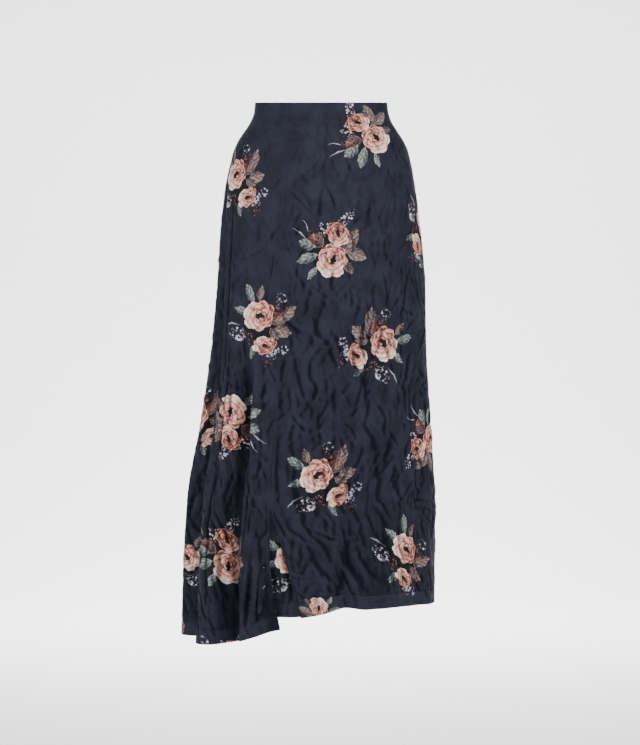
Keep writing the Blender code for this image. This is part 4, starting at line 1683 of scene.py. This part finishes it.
    def _rim_shade(self) -> np.ndarray:
        """Painted shade along the rim of the fold beside the right side seam, where the cloth turns
        back.

        Returns:
            A darkness for each point, 0 away from the rim.
        """
        grid = self.grid
        rims = grid.across[np.arange(self.rows), np.argmin(grid.points[..., 0], axis=1)]
        away = (grid.across - rims[:, None]) / self.rim_width
        below_top = np.clip((grid.drop - self.rim_top) / self.rim_fade, 0, 1)
        return self.rim * below_top * np.exp(-away * away)

    def _to_sides(self) -> np.ndarray:
        """Distance along the cloth to the nearer side edge."""
        return np.minimum(*self._from_sides())

    def _hold(self, width: float) -> np.ndarray:
        """Seams hold the cloth flat, so creases fade towards them."""
        near = np.clip(self._to_sides() / width, 0, 1)
        return near * near * (3 - 2 * near)

    def _seam_dip(self) -> np.ndarray:
        """The cloth turns in at its sides."""
        return -self.dip_depth * np.exp(-(self._to_sides() / self.dip_width) ** 2)

    def build(self, origins: Sequence[Origin],
              finishes: Sequence[bpy.types.Material]) -> bpy.types.Object:
        """Thin wall on the creased grid, with the print's coordinates on its face side.

        Args:
            origins: the cloth coordinates of each spray's centre, and the spray.
            finishes: the materials: one for each drawing of the print, then the wrong side.

        Returns:
            The panel's object.
        """
        grid = self.grid
        outer = grid.points + grid.normals * (self.heights - self.inset)[..., None]
        walls = np.where(self._to_hem() < HEM_DEPTH, self.hem_wall, self.wall)
        inner = outer - grid.normals * blurred(walls)[..., None]
        mesh = self._wall_mesh(outer, inner)
        faces = (self.rows - 1) * (self.columns - 1)
        kinds = self._print_map(mesh, origins, faces)
        self._shade_map(mesh)
        for finish in finishes:
            mesh.materials.append(finish)
        slots = np.full(len(mesh.polygons), len(finishes) - 1, np.int32)
        slots[:faces] = kinds
        mesh.polygons.foreach_set("material_index", slots)
        mesh.shade_smooth()
        mesh.set_sharp_from_angle(angle=math.radians(self.sharp_angle))
        return in_scene(self.name, mesh)

    def _wall_mesh(self, outer: np.ndarray, inner: np.ndarray) -> bpy.types.Mesh:
        """Closed wall between two grids. The outer faces come first, row by row.

        Args:
            outer: the face side's points.
            inner: the wrong side's points.

        Returns:
            The mesh.
        """
        rows, columns = self.rows, self.columns
        index = np.arange(rows * columns).reshape(rows, columns)
        a, b, c, d = index[:-1, :-1], index[1:, :-1], index[1:, 1:], index[:-1, 1:]
        front = np.stack([a, b, c, d], axis=-1).reshape(-1, 4)
        rear = np.stack([d, c, b, a], axis=-1).reshape(-1, 4) + rows * columns
        rims = []
        loop = [*index[0, :], *index[1:, -1], *index[-1, -2::-1], *index[-2:0:-1, 0]]
        for here, there in zip(loop, loop[1:] + loop[:1]):
            rims.append((here, there, there + rows * columns, here + rows * columns))
        mesh = bpy.data.meshes.new(self.name)
        points = np.concatenate([outer.reshape(-1, 3), inner.reshape(-1, 3)])
        mesh.from_pydata(points.tolist(), [], np.concatenate([front, rear, np.array(rims)]).tolist())
        mesh.update()
        return mesh

    def _print_map(self, mesh: bpy.types.Mesh, origins: Sequence[Origin],
                   faces: int) -> np.ndarray:
        """Give each face the coordinates of its nearest spray, in that spray's centimetres.

        Args:
            mesh: the panel's mesh.
            origins: cloth coordinates of each spray's centre, and the spray.
            faces: how many faces are on the face side.

        Returns:
            The number of each face's drawing.
        """
        grid = self.grid
        across, down = ((v[:-1, :-1] + v[1:, :-1] + v[1:, 1:] + v[:-1, 1:]).ravel() / 4
                        for v in (grid.across, grid.down))
        miss = np.stack([np.hypot(across - a, down - d) / spray.size for a, d, spray in origins])
        choice = np.argmin(miss, axis=0)
        loops = np.empty(len(mesh.loops), np.int32)
        mesh.loops.foreach_get("vertex_index", loops)
        corners = loops[:faces * 4]
        own = np.repeat(choice, 4)
        centre_across, centre_down, turn, scale, flip = (
            np.array(values)[own] for values in zip(*(
                (a, d, math.radians(s.turn), s.size * CM, -1.0 if s.mirrored else 1.0)
                for a, d, s in origins)))
        right = grid.across.ravel()[corners] - centre_across
        up = centre_down - grid.down.ravel()[corners]
        x = (right * np.cos(turn) + up * np.sin(turn)) / scale * flip
        y = (up * np.cos(turn) - right * np.sin(turn)) / scale
        places = np.zeros((len(mesh.loops), 2), np.float32)
        places[:faces * 4] = np.stack([x, y], axis=-1)
        mesh.uv_layers.new(name="print").data.foreach_set("uv", places.ravel())
        whole = np.stack([grid.across.ravel(), -grid.down.ravel()], axis=-1).astype(np.float32)
        cloth = whole[loops % (self.rows * self.columns)]
        mesh.uv_layers.new(name="cloth").data.foreach_set("uv", cloth.ravel())
        designs = list(SprayDesign)
        return np.array([designs.index(s.design) for _, _, s in origins], np.int32)[choice]

    def _shade_map(self, mesh: bpy.types.Mesh) -> None:
        """Give each point its share of the hem's band, of the crush and of painted shade in its
        creases, valleys, fold rim and sides.

        Args:
            mesh: the panel's mesh.
        """
        grid = self.grid
        band = np.interp(self._to_hem(), (HEM_DEPTH - 2 * MM, HEM_DEPTH), (1.0, 0.0))
        around = self.heights
        for _ in range(self.painted_shade_blurs):
            around = blurred(around)
        # Painted shade in the creases, where the cloth lies below its blurred surroundings; then the
        # valleys' painted shade, the rim's and the sides'.
        painted_shade = np.clip((around - self.heights) / self.painted_shade_full, 0, 1)
        painted_shade = np.maximum(painted_shade, WornForm.valleys(grid.angle, grid.drop))
        painted_shade = np.maximum(painted_shade, self._rim_shade())
        for groove, away in zip(self.grooves, self._from_sides()):
            near = np.exp(-(away / (groove.width * MM)) ** 2)
            painted_shade = np.maximum(painted_shade, groove.shade(grid.drop) * near)
        crushed = self._strength() * self._loose()
        for name, values in (("hem_band", band), ("crushed", crushed), ("painted_shade", painted_shade)):
            numbers = np.tile(values.ravel(), 2).astype(np.float32)
            mesh.attributes.new(name, "FLOAT", "POINT").data.foreach_set("value", numbers)

    def line_at(self, from_hem: float, out: float) -> list[Vector]:
        """Points along the panel at a height above its hem, a little off its outer face.

        Args:
            from_hem: the height above the hem.
            out: how far off the outer face.

        Returns:
            The points, from side to side.
        """
        grid = self.grid
        share = (grid.drop[-1] - from_hem - grid.drop[0]) / (grid.drop[-1] - grid.drop[0])
        row = int(round(float(np.mean(share)) * (self.rows - 1)))
        raised = grid.points[row] + grid.normals[row] * (self.heights[row] + out)[:, None]
        return [Vector(point) for point in raised]


def spray_origins(panels: Sequence[ClothPanel], sprays: Sequence[Spray]) -> list[Origin]:
    """Cloth coordinates of each spray's centre, from the panel that it lies on.

    Args:
        panels: panels that share the seam from which "across" is measured.
        sprays: the sprays on them.

    Returns:
        Across, down and the spray, for each spray.
    """
    found = []
    for spray in sprays:
        across, down, _ = min((panel.nearest(spray.place, spray.drop) for panel in panels),
                              key=lambda place: place[2])
        found.append((across, down, spray))
    return found


# ---------------------------------------------------------------- repeated small pieces


class PathRepeat:
    """Geometry Nodes that set one small mesh along a path at an even pitch."""

    def __init__(self, name: str, finish: bpy.types.Material) -> None:
        """Build the tree: resample the path, set the copies along it, realize them, set the material.

        Args:
            name: the tree's name.
            finish: the copies' material.
        """
        tree = bpy.data.node_groups.new(name, "GeometryNodeTree")
        face = tree.interface
        face.new_socket("Path", in_out="INPUT", socket_type="NodeSocketGeometry")
        self.sockets = {
            label: face.new_socket(label, in_out="INPUT", socket_type="NodeSocketFloat").identifier
            for label in ("Pitch", "Length", "Width", "Height")}
        face.new_socket("Geometry", in_out="OUTPUT", socket_type="NodeSocketGeometry")
        nodes, links = tree.nodes, tree.links
        start = nodes.new("NodeGroupInput")
        points = nodes.new("GeometryNodeCurveToPoints")
        points.mode = "LENGTH"
        bead = nodes.new("GeometryNodeMeshUVSphere")
        bead.inputs["Segments"].default_value = 8
        bead.inputs["Rings"].default_value = 5
        bead.inputs["Radius"].default_value = 0.5
        size = nodes.new("ShaderNodeCombineXYZ")
        place = nodes.new("GeometryNodeInstanceOnPoints")
        real = nodes.new("GeometryNodeRealizeInstances")
        dress = nodes.new("GeometryNodeSetMaterial")
        dress.inputs["Material"].default_value = finish
        end = nodes.new("NodeGroupOutput")
        for out, into in (
                (start.outputs["Path"], points.inputs[0]),
                (start.outputs["Pitch"], points.inputs["Length"]),
                (start.outputs["Width"], size.inputs[0]),
                (start.outputs["Height"], size.inputs[1]),
                (start.outputs["Length"], size.inputs[2]),
                (points.outputs["Points"], place.inputs["Points"]),
                (points.outputs["Rotation"], place.inputs["Rotation"]),
                (bead.outputs["Mesh"], place.inputs["Instance"]),
                (size.outputs[0], place.inputs["Scale"]),
                (place.outputs[0], real.inputs[0]),
                (real.outputs[0], dress.inputs[0]),
                (dress.outputs[0], end.inputs[0])):
            links.new(out, into)
        self.tree = tree

    def along(self, name: str, paths: Sequence[Sequence[Vector]], pitch: float, length: float,
              width: float, height: float) -> bpy.types.Object:
        """Set the copies along paths.

        Args:
            name: the piece's name.
            paths: the points of each path.
            pitch: distance from one copy to the next.
            length: a copy's length along the path.
            width: its width.
            height: its height.

        Returns:
            A plain mesh object.
        """
        curve = bpy.data.curves.new(name + "_path", "CURVE")
        curve.dimensions = "3D"
        for path in paths:
            spline = curve.splines.new("POLY")
            spline.points.add(len(path) - 1)
            for knot, point in zip(spline.points, path):
                knot.co = (*point, 1.0)
        guide = in_scene(name + "_guide", curve)
        modifier = guide.modifiers.new("repeat", "NODES")
        modifier.node_group = self.tree
        sizes = {"Pitch": pitch, "Length": length, "Width": width, "Height": height}
        for label, value in sizes.items():
            modifier[self.sockets[label]] = value
        depsgraph = bpy.context.evaluated_depsgraph_get()
        mesh = bpy.data.meshes.new_from_object(guide.evaluated_get(depsgraph), depsgraph=depsgraph)
        bpy.data.objects.remove(guide)
        mesh.shade_smooth()
        mesh.name = name
        return in_scene(name, mesh)


@dataclass
class ZipTape:
    """One tape of the closed zip, with its row of coil loops, inside the back seam."""

    name: str
    node: str
    side: int
    top: float = 1.5 * MM
    length: float = 0.200
    width: float = 11.0 * MM
    wall: float = 0.6 * MM
    coil_top: float = 16.5 * MM
    coil_pitch: float = 1.35 * MM
    coil_length: float = 0.95 * MM
    coil_width: float = 2.0 * MM
    coil_height: float = 1.3 * MM
    coil_deep: float = 0.7 * MM
    coil_knots: int = 60
    rows: int = 100
    columns: int = 9

    def _sheet_points(self, along: np.ndarray, drop: np.ndarray, deep: float) -> np.ndarray:
        """Points inside the back seam, deep below the skirt's outer face.

        Args:
            along: how far from the seam, along the cloth.
            drop: drops in metres.
            deep: how far below the outer face.

        Returns:
            The points.
        """
        half_gap = ClothPanel.half_gap(CENTRE_BACK_SEAM, drop)
        angle = WornForm.edge(CENTRE_BACK_SEAM, drop, self.side * (along + half_gap))
        return WornForm.points(angle, drop, lambda a, d: level(a, d) - deep)

    def build(self, weave: bpy.types.Material,
              repeat: PathRepeat) -> tuple[bpy.types.Object, bpy.types.Object]:
        """Tape and coil.

        Args:
            weave: the tape's material.
            repeat: what sets the coil's loops.

        Returns:
            The tape's object and the coil's.
        """
        across = np.linspace(0.0, self.width, self.columns)[None, :]
        drop = np.linspace(self.top, self.length, self.rows)[:, None]
        across, drop = np.broadcast_arrays(across, drop)
        if self.side < 0:
            across = across[:, ::-1]
        outer = self._sheet_points(across, drop, WALL + SEAM_GAP)
        mesh = bmesh.new()
        grids = [[[mesh.verts.new(p) for p in line] for line in points]
                 for points in (outer, outer - face_normals(outer) * self.wall)]
        for r in range(self.rows - 1):
            for c in range(self.columns - 1):
                for side, verts in enumerate(grids):
                    ring = [verts[r][c], verts[r + 1][c], verts[r + 1][c + 1], verts[r][c + 1]]
                    mesh.faces.new(ring if side == 0 else ring[::-1])
        border = [edge for edge in mesh.edges if edge.is_boundary]
        bmesh.ops.bridge_loops(mesh, edges=border)
        bmesh.ops.recalc_face_normals(mesh, faces=mesh.faces)
        data = bpy.data.meshes.new(self.name)
        mesh.to_mesh(data)
        mesh.free()
        data.materials.append(weave)
        data.shade_smooth()
        data.set_sharp_from_angle(angle=math.radians(40))
        tape = in_scene(self.name, data)
        drops = np.linspace(self.coil_top, self.length, self.coil_knots)
        deep = WALL + SEAM_GAP + self.wall + self.coil_deep
        line = self._sheet_points(np.full(self.coil_knots, self.coil_width / 2), drops, deep)
        coil = repeat.along(self.name + "_coil", [[Vector(p) for p in line]], self.coil_pitch,
                            self.coil_length, self.coil_width, self.coil_height)
        return tape, coil


# ---------------------------------------------------------------- stage


@dataclass(frozen=True)
class Lamp:
    """A large soft round lamp at a place, aimed at a target; its spread is in degrees."""

    name: str
    place: tuple[float, float, float]
    target: tuple[float, float, float]
    size: float
    watts: float
    spread: float = 180.0

    def build(self) -> None:
        """Hang the lamp and aim it."""
        data = bpy.data.lights.new(self.name, "AREA")
        data.shape = "DISK"
        data.size = self.size
        data.energy = self.watts
        data.spread = math.radians(self.spread)
        lamp = in_scene(self.name, data)
        lamp.location = self.place
        aim = Vector(self.target) - Vector(self.place)
        lamp.rotation_euler = aim.to_track_quat("-Z", "Y").to_euler()


LAMPS = (
    Lamp("key_right", (1.15, -1.9, 1.15), (0.05, 0.0, 0.1), 1.2, 8.3, 90.0),
    Lamp("fill_front", (-0.30, -2.5, 0.4), (0.0, 0.0, -0.2), 1.0, 8.0, 90.0),
    Lamp("fill_left", (-2.3, -1.25, 0.2), (0.0, 0.0, -0.4), 1.2, 43.0),
    Lamp("fill_right", (2.5, -1.35, 0.2), (0.0, 0.0, -0.4), 1.6, 38.0),
    Lamp("cove_left", (-2.6, 2.4, 2.4), (-0.6, 6.3, -0.4), 2.2, 184.0, 110.0),
    Lamp("cove_right", (2.6, 2.4, 2.4), (0.6, 6.3, -0.4), 2.2, 184.0, 110.0),
    Lamp("cove_floor", (0.0, 3.0, 3.4), (0.0, 2.8, -1.34), 3.0, 175.0, 80.0),
)


@dataclass(frozen=True)
class Studio:
    """Plain pale cove, soft lights and a camera at the photograph's viewing angle."""

    pixels_per_metre: float = 550.0
    frame_height: float = 745.0
    distance: float = 4.0
    camera_x: float = -0.0018
    camera_drop: float = 0.491
    floor: float = -1.34
    cove_radius: float = 2.2
    cove_back: float = 4.2
    reach: float = 9.0
    pale: float = 0.88
    surround: float = 0.22

    def build(self) -> None:
        """Make the cove, the lights and the camera."""
        self._cove()
        for lamp in LAMPS:
            lamp.build()
        self._world()
        self._camera()

    def _cove(self) -> None:
        """Floor that sweeps up into a back wall."""
        radius = self.cove_radius
        bends = [(self.cove_back + radius * math.sin(t), self.floor + radius * (1 - math.cos(t)))
                 for t in np.linspace(0, math.pi / 2, 25)]
        line = [(-self.reach, self.floor), *bends, (self.cove_back + radius, self.reach)]
        points = [(x, y, z) for y, z in line for x in (-self.reach, self.reach)]
        faces = [(2 * i, 2 * i + 1, 2 * i + 3, 2 * i + 2) for i in range(len(line) - 1)]
        mesh = bpy.data.meshes.new("studio_cove")
        mesh.from_pydata(points, [], faces)
        mesh.shade_smooth()
        cove = in_scene("studio_cove", mesh)
        shader = Shader("pale_paper")
        node = shader.add("ShaderNodeBsdfPrincipled", {}, {
            "Base Color": (self.pale, self.pale, self.pale, 1.0), "Roughness": 0.9,
            "Specular IOR Level": 0.1})
        shader.add("ShaderNodeOutputMaterial", {}, {"Surface": node.outputs[0]})
        mesh.materials.append(shader.material)

    def _world(self) -> None:
        """Even pale surroundings."""
        world = bpy.data.worlds.new("studio")
        world.use_nodes = True
        back = world.node_tree.nodes["Background"]
        back.inputs[0].default_value = (1.0, 1.0, 1.0, 1.0)
        back.inputs[1].default_value = self.surround
        bpy.context.scene.world = world

    def _camera(self) -> None:
        """Camera that sees the photograph's scale at the waist's centre."""
        data = bpy.data.cameras.new("camera")
        data.sensor_width = 36.0
        data.lens = data.sensor_width * self.distance / (self.frame_height / self.pixels_per_metre)
        camera = in_scene("camera", data)
        camera.location = (self.camera_x, -self.distance, -self.camera_drop)
        camera.rotation_euler = (math.pi / 2, 0, 0)
        bpy.context.scene.camera = camera


# ---------------------------------------------------------------- the skirt


def skirt_panels() -> dict[str, ClothPanel]:
    """The five cut pieces of cloth, by node.

    Returns:
        The panels, by node.
    """
    # Each panel's grooves are painted shade along its sides; on the front, below the slit's top, a
    # painted shadow along the slit's free edge.
    rows = (
        ClothPanel("front_satin", "front_panel", FRONT_EDGE, LEFT_SIDE_SEAM, FRONT_HEM, columns=138,
                   rows=358, creases=FRONT_CREASES, placed_by_x=True, seam_at_end=False,
                   cut=(0.37, 0.93), cut_area=0.29, seed=11,
                   grooves=(Groove(0.9, 2.0, SLIT_DROP), Groove(0.6)), out=flap_lift),
        ClothPanel("drape_satin", "drape_panel", RIGHT_SIDE_SEAM, DRAPE_EDGE, DRAPE_HEM, columns=112,
                   rows=350, creases=DRAPE_CREASES, placed_by_x=True, seam_at_end=True,
                   cut=(0.30, 0.99), cut_area=0.175, seed=12,
                   grooves=(Groove(0.5), Groove()), rim=1.2),
        ClothPanel("back_left_satin", "back_left_panel", LEFT_SIDE_SEAM, CENTRE_BACK_SEAM, BACK_HEM,
                   columns=112, rows=320, creases=BACK_LEFT_CREASES, placed_by_x=False,
                   seam_at_end=True, cut=(0.35, 0.95), cut_area=0.262, seed=13,
                   grooves=(Groove(0.6), Groove(0.7))),
        ClothPanel("back_right_satin", "back_right_panel", CENTRE_BACK_SEAM, RIGHT_SIDE_SEAM, BACK_HEM,
                   columns=126, rows=320, creases=BACK_RIGHT_CREASES, placed_by_x=False,
                   seam_at_end=False, cut=(0.42, 0.99), cut_area=0.313, seed=14,
                   grooves=(Groove(0.7), Groove(0.5))),
        ClothPanel("underlap_satin", "slit_underlap", UNDERLAP_RIGHT_EDGE, UNDERLAP_LEFT_EDGE,
                   UNDERLAP_HEM, columns=44, rows=84, creases=UNDERLAP_CREASES, placed_by_x=True,
                   seam_at_end=False, cut=(0.11, 0.23), cut_area=0.0146, seed=15,
                   grooves=(Groove(), Groove()), top=UNDERLAP_TOP, out=underlap_sink, crumple=0.6),
    )
    return {panel.node: panel for panel in rows}


def dress_cloth(finish: SatinFinish) -> dict[str, ClothPanel]:
    """Build and place each cloth panel, and hide the part's own panel.

    Args:
        finish: the satin.

    Returns:
        The panels, by node.
    """
    panels = skirt_panels()
    materials = [finish.printed(design) for design in SprayDesign] + [finish.reverse()]
    groups = (
        (("front_panel", "drape_panel"), FRONT_SPRAYS),
        (("back_left_panel", "back_right_panel"), BACK_SPRAYS),
        (("slit_underlap",), UNDERLAP_SPRAYS),
    )
    for nodes, sprays in groups:
        members = [panels[node] for node in nodes]
        origins = spray_origins(members, sprays)
        for panel in members:
            own = [origin for origin in origins if origin[2].panel in ("", panel.node)]
            piece = panel.build(own, materials)
            join_skirt(piece)
            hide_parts(panel.node)
    return panels


@dataclass(frozen=True)
class HemStitches:
    """The row of small stitches at the top of each hem."""

    below_top: float = 1.5 * MM
    out: float = 0.05 * MM
    pitch: float = 3.4 * MM
    length: float = 2.5 * MM
    width: float = 0.5 * MM
    height: float = 0.4 * MM

    def sew(self, panels: dict[str, ClothPanel]) -> None:
        """Sew a row on each panel.

        Args:
            panels: the panels, by node.
        """
        repeat = PathRepeat("stitch_row", THREAD.material())
        for panel in panels.values():
            path = panel.line_at(HEM_DEPTH - self.below_top, self.out)
            name = panel.name.replace("satin", "hem_stitches")
            piece = repeat.along(name, [path], self.pitch, self.length, self.width, self.height)
            join_skirt(piece)


def fit_zip(frame: dict) -> None:
    """The zip's tapes and coil, and the finish of its slider and pull.

    Args:
        frame: the loaded part.
    """
    repeat = PathRepeat("coil_row", ZIP_COIL.material())
    weave = ZIP_TAPE.material()
    for tape in (ZipTape("left_tape", "zip_tape_left", -1),
                 ZipTape("right_tape", "zip_tape_right", 1)):
        for piece in tape.build(weave, repeat):
            join_skirt(piece)
        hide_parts(tape.node)
    enamel = ZIP_ENAMEL.material()
    edge_width, edge_segments = 0.12 * MM, 2
    for node in ("zip_slider", "zip_pull"):
        item = frame["nodes"][node]
        item.data.materials.clear()
        item.data.materials.append(enamel)
        soften = item.modifiers.new("soft_edges", "BEVEL")
        soften.width = edge_width
        soften.segments = edge_segments
        soften.limit_method = "ANGLE"
        LOG.info("%s: enamel finish", node)


def main() -> None:
    """Load the part, dress it, and set the stage."""
    logging.basicConfig(level=logging.INFO, format="%(message)s")
    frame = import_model()
    panels = dress_cloth(SatinFinish())
    HemStitches().sew(panels)
    fit_zip(frame)
    Studio().build()
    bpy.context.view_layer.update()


if __name__ == "__main__":
    main()
